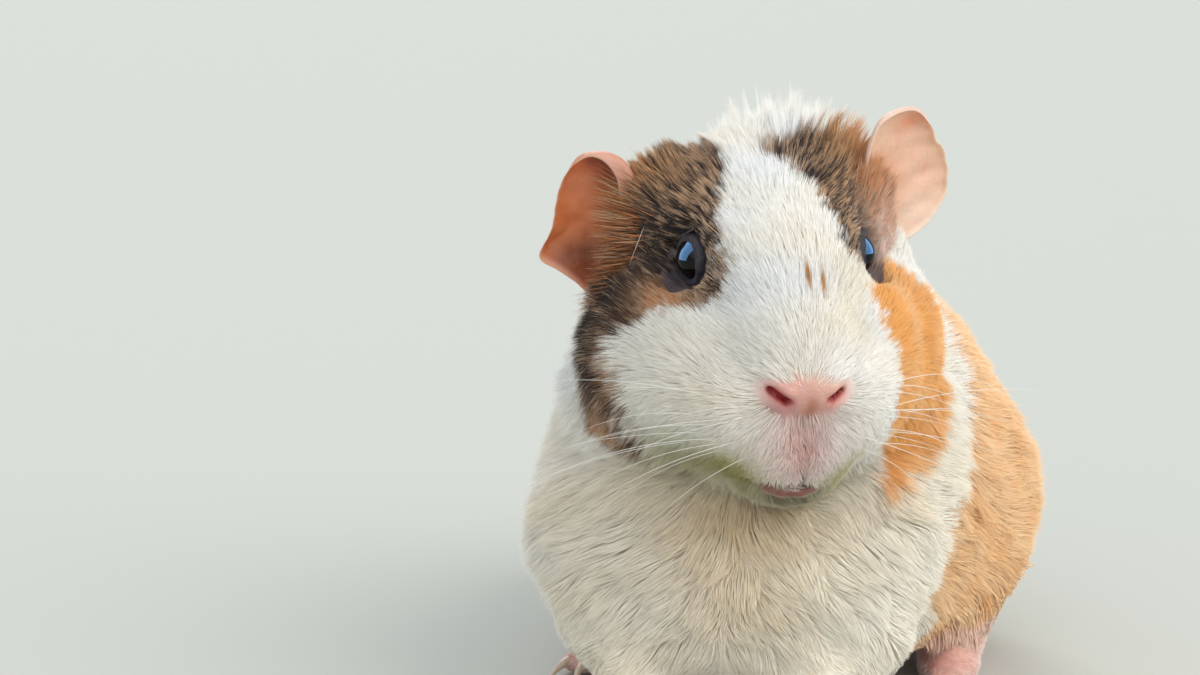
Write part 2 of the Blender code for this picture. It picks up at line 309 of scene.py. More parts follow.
def patches(head, body, jitter):
    """How far each point belongs to each patch, from 0 to 1, as a dict of arrays.

    jitter, in millimetres, ruffles the borders, as single hairs do.
    """
    x, y, z = head.T
    wave = wander(head, 9, 1) * 0.5 + wander(head, 4, 2) * 0.4
    x = x + wave + jitter
    low = step(z, -20, -26)
    y_edge = y + wave * 2 + jitter * (1 + 2 * low)
    head_only = step(y, 40, 31)
    crown_back = np.interp(x, CROWN_BACK_X, CROWN_BACK_Y)

    def socket(side, radius):
        away = np.linalg.norm(head - (side * EYE_SPACING / 2, 0, 0), axis=1)
        return step(away, radius + 1, radius) * (side * x > 16)

    front = past(x, np.interp(z, RIGHT_EDGE_Z, RIGHT_EDGE_X), -0.5)
    front = mix(front, step(y_edge, -5.5, -3.5) * (x < 0), low)
    front = np.maximum(front, socket(-1, 9.3))
    right_back = np.minimum(np.interp(z, DARK_BACK_Z, DARK_BACK_Y), crown_back)
    right = front * past(y_edge, right_back, -1.5) * step(z, -46, -43) * (x < 2)

    outside = past(x, np.interp(z, LEFT_EDGE_Z, LEFT_EDGE_X), 0.5)
    top = np.interp(y, CHEEK_TOP_Y, CHEEK_TOP_Z)
    cheek = outside * past(y_edge, np.interp(z, ORANGE_BACK_Z, ORANGE_BACK_Y), -1)
    cheek = cheek * step(z, -52.5, -51) * past(z, top, -1)
    left = outside * past(z, top, 1) * past(y_edge, crown_back, -1)
    left = np.maximum(left, socket(1, 8) * step(z, -2.5, -0.5) * (1 - cheek))

    bx, by, bz = body.T
    edge = wander(body, 34, 3) * 5 + wander(body, 12, 4) * 1.6 + jitter * 1.5
    by_edge = by + edge
    upper = step(bz + edge * 0.6, 10, 14)
    by_foot = step(bx, 24, 30) * step(bz + edge * 0.3, 6, 9)
    orange = past(by_edge, np.interp(bz, FLANK_Z, FLANK_Y), 1)
    orange = orange * step(bx, -14 + edge, -12 + edge) * np.maximum(upper, by_foot)
    saddle = past(by_edge, 50 + 18 * np.sin((bz - 20) / 30), 1) * step(by_edge, 104, 102)
    saddle = saddle * step(bx, -12 + edge, -14 + edge) * step(bz + edge * 0.8, 27, 30)
    rump = step(by_edge, 112, 114) * step(bx, 0 + edge, -2 + edge) * upper
    off_head = 1 - head_only * step(by, 30, 20)
    return {
        "right": right,
        "left": left * head_only,
        "cheek": cheek,
        "flank": np.clip(orange + rump, 0, 1) * off_head,
        "saddle": saddle * off_head,
    }


def white_coat(head, body):
    """The white fur, with a creamy chest, a stained chin and jaw, olive stain darkened as painted shade
    under the lower lip, and pink showing through on the lips.
    """
    white = tint(linear(WHITE), linear(CREAM), 0.3 + 0.3 * wander(body, 22, 6))
    chest = step(head[:, 2], -38, -50) * step(head[:, 1], 40, 10)
    white = tint(white, linear(CREAM), chest * 0.6)
    warm = spot(body, (6, -20, 40), (18, 22, 24)) * 0.65 + spot(head, (-4, -10, -56), (26, 18, 7)) * 0.5
    white = tint(white, linear(WARM_CREAM), np.clip(warm, 0, 1))
    stain = spots(
        head,
        ((-13, -26, -38), (8, 8, 7), 0.9),
        ((9.5, -28, -38), (6, 8, 7), 0.9),
        ((0, -20, -46), (20, 12, 4), 0.3),
        ((-22, -14, -40), (12, 14, 8), 0.7),
    )
    stain = stain * (1 - spot(head, (-0.5, -33, -33), (7, 9, 5)))
    white = tint(white, linear(STAIN), np.clip(stain, 0, 0.9))
    return daubed(
        white, head,
        # An olive stain under the lower lip, darkened as painted shade under the lip.
        (OLIVE_STAIN_AND_SHADE, (-1, -27, -44.5), (14, 9, 3.6), 0.75),
        (PALE_PINK, (0, -34, -27), (9, 9, 13), 0.8),
        (MAUVE, (0, -34, -29), (6, 9, 6), 0.3),
        (PINK, (-0.4, -34, -31), (5, 9, 7), 0.45),
    )


def ticked_coat(head, ticks):
    """The base and the tip of the hair in the dark patches, where each tip is light, brown or black."""
    x = head[:, 0]
    golden = spots(
        head,
        ((-27, 21, 17), (11, 24, 8), 1),
        ((-36, 12, 8), (9, 12, 12), 0.5),
        ((24, 26, 20), (8, 16, 8), 1),
    )
    golden = np.clip(golden, 0, 1)
    # Round and under the right ear more hairs are dark, with darker bases: partly the patch's own dark hair,
    # partly painted shade from the ear.
    dark_and_ear_shade = spots(
        head,
        ((-27, 5, 3), (9, 12, 12), 1),
        ((-34, 12, -16), (9, 9, 9), 1),
        ((-36, 8, -28), (8, 14, 16), 0.6),
        ((-35, 8, -5), (8, 12, 7), 1),
    )
    dark_and_ear_shade = np.clip(dark_and_ear_shade, 0, 1)
    bright = spots(head, ((-13, -9, 0), (5, 8, 9), 1), ((20, -8, 6), (5, 8, 9), 1))
    light = tint(linear(TAN), linear(GOLD), np.clip(golden + 0.2 + 0.5 * step(x, 4, 14) - bright, 0, 1))
    light_share = 0.42 + 0.25 * golden - 0.24 * dark_and_ear_shade + 0.14 * bright
    dark_share = 0.42 - 0.14 * golden + 0.3 * dark_and_ear_shade + 0.12 * (x > 6)
    tip = np.where((ticks > 1 - dark_share)[:, None], linear(DARK), linear(BROWN))
    tip = np.where((ticks < light_share)[:, None], light, tip)
    return tint(linear(BROWN) * 0.8, linear(DARK), np.clip(0.4 + dark_and_ear_shade, 0, 1)), tip


def markings(world, jitter, ticks):
    """The coat's colour at each world point, at the hair's base and tip, and how ticked the patch is there.

    ticks, from 0 to 1, decides which of a ticked patch's shades a hair takes.
    """
    head = into(world, HEAD)
    body = into(world, BODY)
    part = patches(head, body, jitter)
    white = white_coat(head, body)
    # Painted shade under the jaw's fringe: the white hair there is darker, most at its base.
    jaw = np.clip(spots(head, ((-18, -16, -41), (15, 12, 7), 1), ((15, -18, -42), (9, 10, 5), 0.7)), 0, 1)
    base = tint(white, white * 0.5, jaw)
    tip = tint(white, white * 0.78, jaw)

    def lay(share, base_colour, tip_colour):
        base[:] = tint(base, base_colour, share)
        tip[:] = tint(tip, tip_colour, share)

    vary = 0.3 * wander(body, 18, 7) + 0.3 * (ticks - 0.5)
    for name, pale in (("cheek", 0.15), ("flank", 0.85)):
        orange = tint(linear(ORANGE), linear(PALE_ORANGE), np.clip(pale + vary, 0, 1))
        # Painted shade at the roots: the orange hair's base is a little darker.
        lay(part[name], orange * 0.95, orange)

    ticked_base, ticked_tip = ticked_coat(head, ticks)
    lay(part["right"], ticked_base, ticked_tip)
    rusty = step(head[:, 0], 16, 24) * step(ticks, 0.4, 0.6) * 0.8
    lay(part["left"], ticked_base, tint(ticked_tip, linear(GINGER), rusty))
    temple = part["left"] * np.clip(1.3 * spot(head, (27, 8, 1), (8, 10, 8)), 0, 1)
    lay(temple * 0.9, linear(TEMPLE_BASE), linear(TEMPLE_TIP))
    ginger = spots(
        head,
        ((-24, -6, -7), (7, 9, 3.6), 1.3),
        ((-33, -3, -22), (6, 7, 9), ticks < 0.7),
        ((-36.8, 5, -42), (5, 7, 5), 1),
        ((-33, 15, 6), (6, 9, 6), 0.9 * (ticks < 0.6)),
    )
    ginger = part["right"] * np.clip(ginger, 0, 1)
    ginger_tip = np.where((ticks < 0.5)[:, None], linear(PALE_GINGER), linear(GINGER))
    lay(ginger * 0.85, linear(BROWN), ginger_tip)
    saddle_tip = np.where((ticks < 0.3)[:, None], linear(GINGER), linear(DARK))
    lay(part["saddle"], linear(BROWN) * 0.8, saddle_tip)
    for fleck in FLECKS:
        lay(np.clip(spot(head, fleck, (0.45, 4, 1.8)) * 1.6, 0, 1), linear(GINGER), linear(FLECK_TIP))

    lids = sum(spot(head, (side * 21, -3, 1), (3, 3.5, 6)) for side in SIDES.values())
    lay(np.clip(lids, 0, 1) * 0.55, linear(DARK), linear(DARK))
    for side in SIDES.values():
        tilt, turn, away = eye_angles(head, side)
        margin = lid_margin(turn)
        corner = step(-np.sin(turn), 0.1, 0.6) * (away < 9.5)
        corner = corner * step(tilt, margin + radians(24), margin + radians(12))
        lay(corner * 0.9, linear(EYE_CORNER_BASE), linear(EYE_CORNER_TIP))
    lay(on_feet(world) * 0.75, linear(FOOT_BASE), linear(FOOT_TIP))
    ticked = np.clip(part["right"] + part["left"] + part["saddle"], 0, 1)
    return base, tip, ticked


def on_feet(world):
    """1 on the paws, 0 on the legs, the belly and the rest."""
    x, y, z = into(world, BODY).T
    fore = step(np.abs(np.abs(x) - FORELEG_SPACING / 2), 13, 10) * step(y, 16, 12)
    hind = step(np.abs(np.abs(x) - HINDLEG_SPACING / 2), 14, 11) * step(np.abs(y - 74), 32, 27)
    return step(z, 15, 10) * np.maximum(fore, hind)


# Skin


def mass(mesh, place, centre, radii, tilt=0.0):
    """Adds an ellipsoid. tilt lifts its front end, in degrees."""
    turned = place @ Matrix.Translation(Vector(centre)) @ Matrix.Rotation(radians(-tilt), 4, "X")
    size = Matrix.Diagonal((*radii, 1.0))
    bmesh.ops.create_uvsphere(mesh, u_segments=24, v_segments=16, radius=1.0, matrix=turned @ size)


def standing(side, spacing, back, toe_out):
    """The frame of a paw on the floor, in millimetres, its toes turned outward by toe_out degrees."""
    local = Matrix.Translation((side * spacing / 2, back, 0))
    local = local @ Matrix.Rotation(side * radians(toe_out), 4, "Z")
    return BODY @ Matrix.Scale(MM, 4) @ local


# Each paw: the pair's spacing, its place back from the breast and its turn outward, its masses,
# where its toes start, their angles, length and radius, and the claws' length and thickness
PAW_FORMS = {
    "forepaw": dict(
        stand=(FORELEG_SPACING, -3, 6),
        masses=[((0, 4, 11), (7.6, 8.4, 10)), ((0, 0, 4), (7, 8.5, 5.2))],
        front=-2, angles=(-30, -10, 10, 30), length=10.5, radius=2.1, claw=(6.0, 1.1),
    ),
    "hindpaw": dict(
        stand=(HINDLEG_SPACING, 70, 7),
        masses=[((0, 8, 9), (9, 20, 9)), ((0, -2, 4), (7.5, 17, 5.5))],
        front=-12, angles=(-20, 0, 20), length=13, radius=2.7, claw=(8.0, 1.4),
    ),
}


def toes(form, side):
    """The frame of each toe of a paw, turned its own way."""
    front = standing(side, *form["stand"]) @ Matrix.Translation((0, form["front"], 0))
    return [front @ Matrix.Rotation(radians(angle), 4, "Z") for angle in form["angles"]]


def add_paw(mesh, form, side):
    """The flesh of a paw, with a knuckle and a rounded tip on each toe."""
    place = standing(side, *form["stand"])
    for centre, radii in form["masses"]:
        mass(mesh, place, centre, radii)
    length, radius = form["length"], form["radius"]
    for toe in toes(form, side):
        mass(mesh, toe, (0, -length * 0.45, radius + 0.6), (radius, length * 0.55, radius), tilt=-4)
        mass(mesh, toe, (0, -length * 0.5, radius + 1.1), (radius * 0.9, length * 0.16, radius * 0.8))
        mass(mesh, toe, (0, -length * 0.85, radius), (radius * 0.95, length * 0.25, radius))


def gather_flesh():
    """The flesh as one mesh, each node of it swollen just enough to close the cuts between them."""
    mesh = bmesh.new()
    for name in [*FLESH, *LIMBS]:
        one = bmesh.new()
        one.from_mesh(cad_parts[name].data)
        bmesh.ops.remove_doubles(one, verts=one.verts, dist=1e-6)
        one.normal_update()
        for vertex in one.verts:
            vertex.co += vertex.normal * 0.35 * MM
        data = bpy.data.meshes.new(name)
        one.to_mesh(data)
        one.free()
        mesh.from_mesh(data)
        bpy.data.meshes.remove(data)
    for form in PAW_FORMS.values():
        for side in SIDES.values():
            add_paw(mesh, form, side)
    for vertex in mesh.verts:
        vertex.co.z = max(vertex.co.z, 0.1 * MM)
    data = bpy.data.meshes.new("skin")
    mesh.to_mesh(data)
    mesh.free()
    return new_object("skin", data)


def links_of(mesh):
    """The two ends of each edge, and how many edges meet at each vertex."""
    ends = np.empty(len(mesh.edges) * 2, np.int32)
    mesh.edges.foreach_get("vertices", ends)
    return ends.reshape(-1, 2).T, np.maximum(np.bincount(ends, minlength=len(mesh.vertices)), 1)


def relaxed(values, links, rounds, weights=1.0):
    """Values at the vertices, drawn half way to their neighbours' mean in each round, by their weights."""
    (start, end), degree = links
    count = len(values)
    share = 0.5 * np.broadcast_to(weights, count)[:, None]
    for _ in range(rounds):
        near = [np.bincount(start, row[end], count) + np.bincount(end, row[start], count) for row in values.T]
        values = values + (np.stack(near, 1) / degree[:, None] - values) * share
    return values


def smoothed(obj, weights, rounds, keep_form=True):
    """Smooths a mesh, each vertex by its weight. keep_form gives back what that takes off its broad form."""
    links = links_of(obj.data)
    before = points_of(obj.data)
    after = relaxed(before, links, rounds, weights)
    if keep_form:
        after = after + relaxed(before - after, links, rounds)
    set_points(obj.data, after)


def coat_depth(world):
    """How far the skin lies inside the coat's outline, in millimetres."""
    head = into(world, HEAD)
    x, y, z = head.T
    depth = 1.3 + 1.1 * step(y, -30, -12) + 1.0 * step(y, -5, 12) + 1.9 * step(y, 14, 40)
    depth = depth + step(np.abs(x), 18, 34) * step(z, -4, -20) * 2.2
    depth = depth + 2.2 * step(z, -38, -50) * step(y, -20, 0)
    depth = depth + 2.5 * spot(head, (4, 33, 22), (20, 14, 16))
    bare = spots(head, (NOSE_TIP + (0, 0, -1), (9, 8, 6), 1.3), ((0, -33, -38), (9, 9, 5), 0.8))
    bare = np.clip(bare, 0, 1)
    for side in SIDES.values():
        bare = np.maximum(bare, spot(head, (side * 20, -4, 0), (7.5, 8, 9)) * 0.9)
    depth = mix(depth, 0.3, bare)
    return mix(depth, 0.1, step(world[:, 2] / MM, 34, 11))


def groove(head, start, end, width, depth):
    """How deep a furrow between two points lies, seen from the front."""
    start, end = np.array(start, float), np.array(end, float)
    along = end - start
    flat = head[:, [0, 2]]
    share = np.clip((flat - start) @ along / (along @ along), 0, 1)
    away = np.linalg.norm(flat - start - share[:, None] * along, axis=1)
    return depth * np.exp(-((away / width) ** 2)) * (head[:, 1] < -18)


# Seen from the front: each nostril's side, outer end and inner end, the ends of the split in the upper lip,
# the mouth's middle and left end, and the lower lip, which sags in the middle
NOSTRILS = ((-1, (-7.4, -15.3), (-4.4, -17.3)), (1, (6.2, -15.8), (4.5, -17.0)))
SPLIT_TOP = (0.4, -27.5)
SPLIT_FOOT = (1.0, -37.5)
MOUTH_MIDDLE = (1.0, -38.4)
MOUTH_LEFT = (5, -38.6)
LOWER_LIP = (((-6.2, -39.6), (-3.4, -40.8)), ((-3.4, -40.8), (0.8, -40.9)), ((0.8, -40.9), (3.6, -39.9)))


def sculpt_muzzle(mesh):
    """Nostrils, the groove under the nose, the split lip, the mouth and the lower lip."""
    head = into(points_of(mesh), HEAD)
    push = np.zeros(len(head))
    for side, outer, inner in NOSTRILS:
        push += groove(head, outer, inner, 0.85, 2.2)
        push += groove(head, outer, (outer[0] + side * 2.2, outer[1] + 2.4), 0.6, 0.25)
        push -= groove(head, (outer[0], outer[1] + 2.2), (inner[0], inner[1] + 2.6), 1.3, 0.7)
        below_outer = (outer[0] + side, outer[1] - 2.6)
        below_inner = (inner[0] + side, inner[1] - 2.4)
        push -= groove(head, below_outer, below_inner, 1.3, 0.45)
        push += groove(head, inner, (side * 1.6, -22), 0.7, 0.55)
        push -= groove(head, (side * 4.2, -25), (side * 3.2, -33), 2.8, 0.8)
    push += groove(head, (0, -17), (0.1, -22), 0.8, 0.4)
    push += groove(head, (0.1, -22), SPLIT_TOP, 0.6, 0.5)
    push += groove(head, SPLIT_TOP, SPLIT_FOOT, 0.65, 1.9)
    push += groove(head, (-9.8, -37.2), MOUTH_MIDDLE, 0.9, 3.2)
    push += groove(head, MOUTH_MIDDLE, MOUTH_LEFT, 0.9, 2.6)
    for start, end in LOWER_LIP:
        push -= groove(head, start, end, 1.1, 0.6)
    head[:, 1] += push
    set_points(mesh, out_of(head, HEAD))


def build_skin():
    """The skin, and the smooth outline of the coat that it lies inside."""
    obj = gather_flesh()
    remesh = obj.modifiers.new("fuse", "REMESH")
    remesh.mode = "VOXEL"
    remesh.voxel_size = 0.7 * MM
    applied(obj)
    world = points_of(obj.data)
    head = into(world, HEAD)
    back = step(head[:, 1], 5, 35)
    before_rump = step(into(world, BODY)[:, 1], 108, 98)
    feet = step(world[:, 2] / MM, 26, 12) * before_rump
    fine = spot(head, NOSE_TIP, (11, 9, 10))
    fine = fine + sum(spot(head, (side * 17, -3, 0), (8, 8, 8)) for side in SIDES.values())
    weights = mix(mix(0.5, 1, back), 0.25, feet)
    weights = mix(weights, 0.2, np.clip(fine, 0, 1))
    rounds = 50
    smoothed(obj, weights, rounds)
    smoothed(obj, back * (1 - feet), rounds * 2)
    mesh = obj.data
    outline = BVHTree.FromObject(obj, bpy.context.evaluated_depsgraph_get())
    world = points_of(mesh)
    set_points(mesh, world - normals_of(mesh) * coat_depth(world)[:, None] * MM)
    smoothed(obj, mix(0.3, 1.0, back), 6, keep_form=False)
    refine_muzzle(obj)
    sculpt_muzzle(obj.data)
    thin_skin(obj)
    return obj, outline


def refine_muzzle(obj):
    """Halves the edges round the nose and the mouth, so that the mesh can hold the nostrils and lips."""
    mesh = bmesh.new()
    mesh.from_mesh(obj.data)
    place = HEAD.inverted()
    near = []
    for edge in mesh.edges:
        point = place @ ((edge.verts[0].co + edge.verts[1].co) / 2) / MM
        if abs(point.x + 0.5) < 12 and point.y < -18 and abs(point.z + 26) < 18:
            near.append(edge)
    bmesh.ops.subdivide_edges(mesh, edges=near, cuts=1, smooth=0.3, use_grid_fill=True)
    mesh.to_mesh(obj.data)
    mesh.free()


def thin_skin(obj):
    """Fewer triangles, most of them kept in the face and the feet."""
    world = points_of(obj.data)
    head = into(world, HEAD)
    keep = np.clip(step(head[:, 1], 5, -15) + step(world[:, 2] / MM, 24, 12) * 0.8, 0, 1)
    group = obj.vertex_groups.new(name="thin")
    levels = np.round((1 - 0.9 * keep) * 10).astype(int)
    for level in np.unique(levels):
        group.add(np.flatnonzero(levels == level).tolist(), level / 10, "REPLACE")
    obj.data.calc_loop_triangles()
    thin = obj.modifiers.new("thin", "DECIMATE")
    wanted = SKIN_TRIANGLES
    thin.ratio = min(1, wanted / len(obj.data.loop_triangles))
    thin.vertex_group = "thin"
    thin.vertex_group_factor = 1
    applied(obj)
    obj.vertex_groups.clear()


def skin_colours(mesh):
    """The coat's markings, a little darker as painted shade under the hair, with bare skin on the nose, lips,
    feet and round the eyes.
    """
    world = points_of(mesh)
    head = into(world, HEAD)
    zero = np.zeros(len(world))
    base, tip, _ = markings(world, zero, zero + 0.5)
    colours = tint((base + tip) / 2 * 0.92, linear(PALE_PINK), zero + 0.1)
    pad = np.clip(spot(head, NOSE_TIP + (0, 0, -1.4), (9, 8, 6)) * 1.7, 0, 1)
    colours = daubed(
        tint(colours, linear(PINK), pad), head,
        (NOSE_BRIDGE, (3, -37, -12), (5, 9, 3), 0.55),
        (MAUVE, (0, -34, -28), (6, 9, 7), 0.5),
        (MAUVE, (-6.5, -35, -19.5), (3.2, 9, 2.6), 0.9),
        (NOSE_CLEFT, (0.3, -35, -19), (1.6, 9, 3.4), 0.8),
    )
    for side, outer, inner in NOSTRILS:
        rim = np.clip(groove(head, outer, inner, 1.15, 1) * 1.5, 0, 1)
        hole = np.clip(groove(head, outer, inner, 0.85, 1) * 1.4, 0, 1)
        colours = tint(colours, linear(NOSTRIL_RIM), rim * 0.7)
        colours = tint(colours, linear(NOSTRIL), hole)
    # The split lip's brownish skin, deepened as painted shade along its groove.
    split = groove(head, SPLIT_TOP, SPLIT_FOOT, 0.7, 1)
    # Painted shade in the slit of the mouth, nearly black.
    mouth = groove(head, (-9.6, -37.2), MOUTH_MIDDLE, 0.85, 1)
    mouth = mouth + groove(head, MOUTH_MIDDLE, MOUTH_LEFT, 0.7, 1)
    lip = np.maximum.reduce([groove(head, start, end, 1.6, 1) for start, end in LOWER_LIP])
    colours = tint(colours, linear(SPLIT_LIP_AND_SHADE), np.clip(split, 0, 1) * 0.85)
    colours = tint(colours, linear(LIP), np.clip(lip * 1.3, 0, 1))
    colours = tint(colours, linear(MOUTH_SHADE), np.clip(mouth * 1.2, 0, 1) * 0.95)
    for side in SIDES.values():
        tilt, turn, away = eye_angles(head, side)
        margin = lid_margin(turn)
        on_lids = (away < 10) * step(tilt, margin + radians(14), margin + radians(5))
        colours = tint(colours, linear(LID), on_lids)
    feet = on_feet(world)
    mottle = np.clip(0.5 + 0.5 * wander(head, 4, 51), 0, 1)
    sole = step(world[:, 2] / MM, 4.5, 2)
    colours = tint(colours, linear(PINK), feet * 0.8)
    colours = tint(colours, linear(PAW_MOTTLE), feet * mottle * 0.5)
    return tint(colours, linear(SOLE), feet * sole * 0.6)


# Coat


def flow(world, normals):
    """The way the coat lies at each point, as unit vectors along the skin."""
    head = into(world, HEAD)
    body = into(world, BODY)
    x, y, z = head.T
    away = unit(head - NOSE_TIP)
    away[:, 1] += 0.25 + 0.5 * step(y, 0, 20)
    away[:, 0] += spots(head, ((18, 16, 14), (10, 16, 12), 0.55), ((-22, 12, 12), (12, 16, 14), -0.4))
    away[:, 2] -= 0.75 * step(z, -16, -34) + 0.4 * step(np.abs(x), 26, 36)
    on_head = unit(away) @ turn_of(HEAD).T
    bx, _, bz = body.T
    facing = normals @ turn_of(BODY)
    front = step(-facing[:, 1], -0.1, 0.7)
    parting = np.interp(bz, (20, 60), (2, 8))
    aside = np.clip((bx - parting) / 12, -1, 1)
    down = 0.32 + 0.55 * front + 0.9 * step(bz, 40, 10) * (np.abs(facing[:, 2]) < 0.8)
    on_body = unit(np.stack([aside * (0.9 * front + 0.15), 1.1 - front, -down], 1)) @ turn_of(BODY).T
    lie = tint(on_body, on_head, step(y, 34, 16) * step(z, -46, -38))
    turn = wander(body, 30, 21) * 0.26 + wander(body, 9, 22) * 0.13
    lie = unit(lie - normals * (lie * normals).sum(1, keepdims=True))
    across = np.cross(normals, lie)
    return lie * np.cos(turn)[:, None] + across * np.sin(turn)[:, None]


def triangles_of(mesh):
    """The vertices and the loops at the corners of each triangle."""
    mesh.calc_loop_triangles()
    found = []
    for word in ("vertices", "loops"):
        flat = np.empty(len(mesh.loop_triangles) * 3, np.int32)
        mesh.loop_triangles.foreach_get(word, flat)
        found.append(flat.reshape(-1, 3))
    return found


def eye_opening(turn):
    """How far from its axis an eyeball is bare, in radians. turn starts at its back and goes up."""
    around_it = (0, 45, 90, 130, 180, 225, 270, 315)
    bare = (68, 61, 52, 38, 31, 40, 48, 60)
    return radians(1) * np.interp(np.degrees(turn) % 360, around_it, bare, period=360)


def lid_margin(turn):
    """How far from the eye's axis the bare skin of its lids reaches, in radians."""
    wide = 1.5 * np.clip(-np.cos(turn), 0, 1) + 4 * step(-np.sin(turn), 0.2, 0.9)
    return eye_opening(turn) + radians(1) + radians(1) * wide


def eye_angles(head, side):
    """Each point's tilt from an eye's axis and turn about it, and its distance from the eye's middle."""
    reach = head - (side * EYE_SPACING / 2, 0, 0)
    away = np.linalg.norm(reach, axis=1)
    out = reach @ np.array((side * sin(EYE_TURN), -cos(EYE_TURN), 0))
    back = reach @ np.array((side * cos(EYE_TURN), sin(EYE_TURN), 0))
    return np.arccos(np.clip(out / np.maximum(away, 1e-6), -1, 1)), np.arctan2(reach[:, 2], back), away


def bare_skin(head):
    """1 where the skin has no hair: the nose, the nostrils, the split lip, the mouth and the eyes."""
    bare = spot(head, NOSE_TIP + (0, 0.5, -1.8), (8, 7, 4.6)) * 1.35
    for side, outer, inner in NOSTRILS:
        bare = bare + groove(head, outer, inner, 2.2, 1.6)
    for side in SIDES.values():
        tilt, turn, away = eye_angles(head, side)
        bare = bare + (away < 9) * step(tilt, lid_margin(turn) + radians(4), lid_margin(turn))
    bare = bare + groove(head, (0.4, -28), (1.0, -37), 0.6, 1.4)
    bare = bare + 0.4 * spot(head, (0, -34, -26), (5, 9, 6))
    bare = bare + groove(head, (-9.2, -37.4), (4.5, -38.6), 0.8, 1.6)
    for start, end in LOWER_LIP:
        bare = bare + groove(head, start, end, 1.3, 1.5)
    return np.clip(bare, 0, 1)


def density(head, body, world):
    """Hairs for each square millimetre, before they are scaled to the whole number."""
    _, y, z = head.T
    many = 2.1 + 4.6 * step(y, 36, 14) * step(z, -52, -42)
    many = many + 2.0 * step(body[:, 1], 22, -2) * step(y, 0, 20)
    many = many + 2.5 * spot(head, (4, 29, 18), (26, 14, 12))
    off_floor = step(world[:, 2] / MM, 2.2, 4.0)
    return many * off_floor * (1 - bare_skin(head))


def sow(mesh, depth, number):
    """Roots spread over the skin, with the normal, depth and place on the unwrap of each."""
    corners, loops = triangles_of(mesh)
    points = points_of(mesh)
    normals = normals_of(mesh)
    flat = np.empty(len(mesh.loops) * 2, np.float32)
    mesh.uv_layers["OFBake"].data.foreach_get("uv", flat)
    uvs = flat.reshape(-1, 2)
    a, b, c = (points[corners[:, k]] for k in range(3))
    area = np.linalg.norm(np.cross(b - a, c - a), axis=1) / 2
    centre = (a + b + c) / 3
    weight = area * density(into(centre, HEAD), into(centre, BODY), centre)
    reach = np.cumsum(weight) / weight.sum()
    chosen = np.searchsorted(reach, (np.arange(number) + rng.random(number)) / number)
    chosen = np.minimum(chosen, len(corners) - 1)
    first, second = np.sqrt(rng.random(number)), rng.random(number)
    share = np.stack([1 - first, first * (1 - second), first * second], 1)[..., None]
    return (
        (points[corners[chosen]] * share).sum(1),
        unit((normals[corners[chosen]] * share).sum(1)),
        (depth[corners[chosen]] * share[..., 0]).sum(1),
        (uvs[loops[chosen]] * share).sum(1),
    )


# Where along a hair its three rows of points lie, and its width at the first two, as shares of the whole
STATIONS = np.array((0, 0.5, 1.0))
TAPER = np.array((0.85, 1.0))
# The most that fitting a hair to the coat's outline moves its tip, in millimetres
LONGEST_SHIFT = 11
# Where hair stands up in tufts, on the crown and by the ears: middle, radii and height in millimetres
TUFTS = (
    ((7, 36, 20), (15, 12, 12), 10),
    ((24, 32, 18), (9, 11, 10), 7),
    ((-24, 28, 14), (13, 11, 8), 1.2),
    ((-32, 26, 12), (8, 11, 8), 2.4),
)
# The hairs over the base of each ear, first the right: the middle of their roots, where they fan out from as
# X and Z, how far they sweep back, the longest in millimetres, and how many of all hairs there are for one
EAR_FRINGES = (
    dict(centre=(-28, 14, 1), fans_from=(-10, 2), sweep=0.3, longest=12, one_in=260),
    dict(centre=(22.5, 11, 7), fans_from=(13, -5), sweep=0.6, longest=7.5, one_in=650),
)


def strands(roots, normals, lie, length, rise, bend):
    """The middle line of each hair, as (hairs, stations, 3) world points. Lengths are in millimetres."""
    t = STATIONS[None, :, None]
    across = np.cross(normals, lie)
    run = length[:, None, None] * MM * t
    lift = rise[:, None, None] * MM * t * (1.8 - 0.8 * t) - 0.35 * MM
    line = roots[:, None] + lie[:, None] * run * (1 - 0.1 * t) + normals[:, None] * lift
    return line + across[:, None] * bend[:, None, None] * MM * t**2


def fitted(line, outline, above):
    """Moves each hair's tip to its own height over the coat's outline, in millimetres, and bends the rest."""
    shift = np.zeros((len(line), 3))
    for index, tip in enumerate(line[:, -1]):
        point = Vector(tip)
        hit, normal, _, _ = outline.find_nearest(point)
        shift[index] = normal * (above[index] * MM - (point - hit).dot(normal))
    size = np.linalg.norm(shift, axis=1, keepdims=True)
    shift = shift * np.minimum(1, LONGEST_SHIFT * MM / np.maximum(size, 1e-9))
    return line + shift[:, None] * STATIONS[None, :, None] ** 1.5


def gathered(line, roots, per_lock, pull):
    """Draws each hair's tip towards that of the nearest of the hairs chosen to lead a lock."""
    leaders = rng.choice(len(roots), len(roots) // per_lock, replace=False)
    tree = KDTree(len(leaders))
    for number, leader in enumerate(leaders):
        tree.insert(Vector(roots[leader]), number)
    tree.balance()
    nearest = np.array([tree.find(Vector(root))[1] for root in roots])
    head_line = line[leaders[nearest]]
    share = pull[:, None, None] * STATIONS[None, :, None] ** 1.3
    return line + (head_line - line) * share, nearest


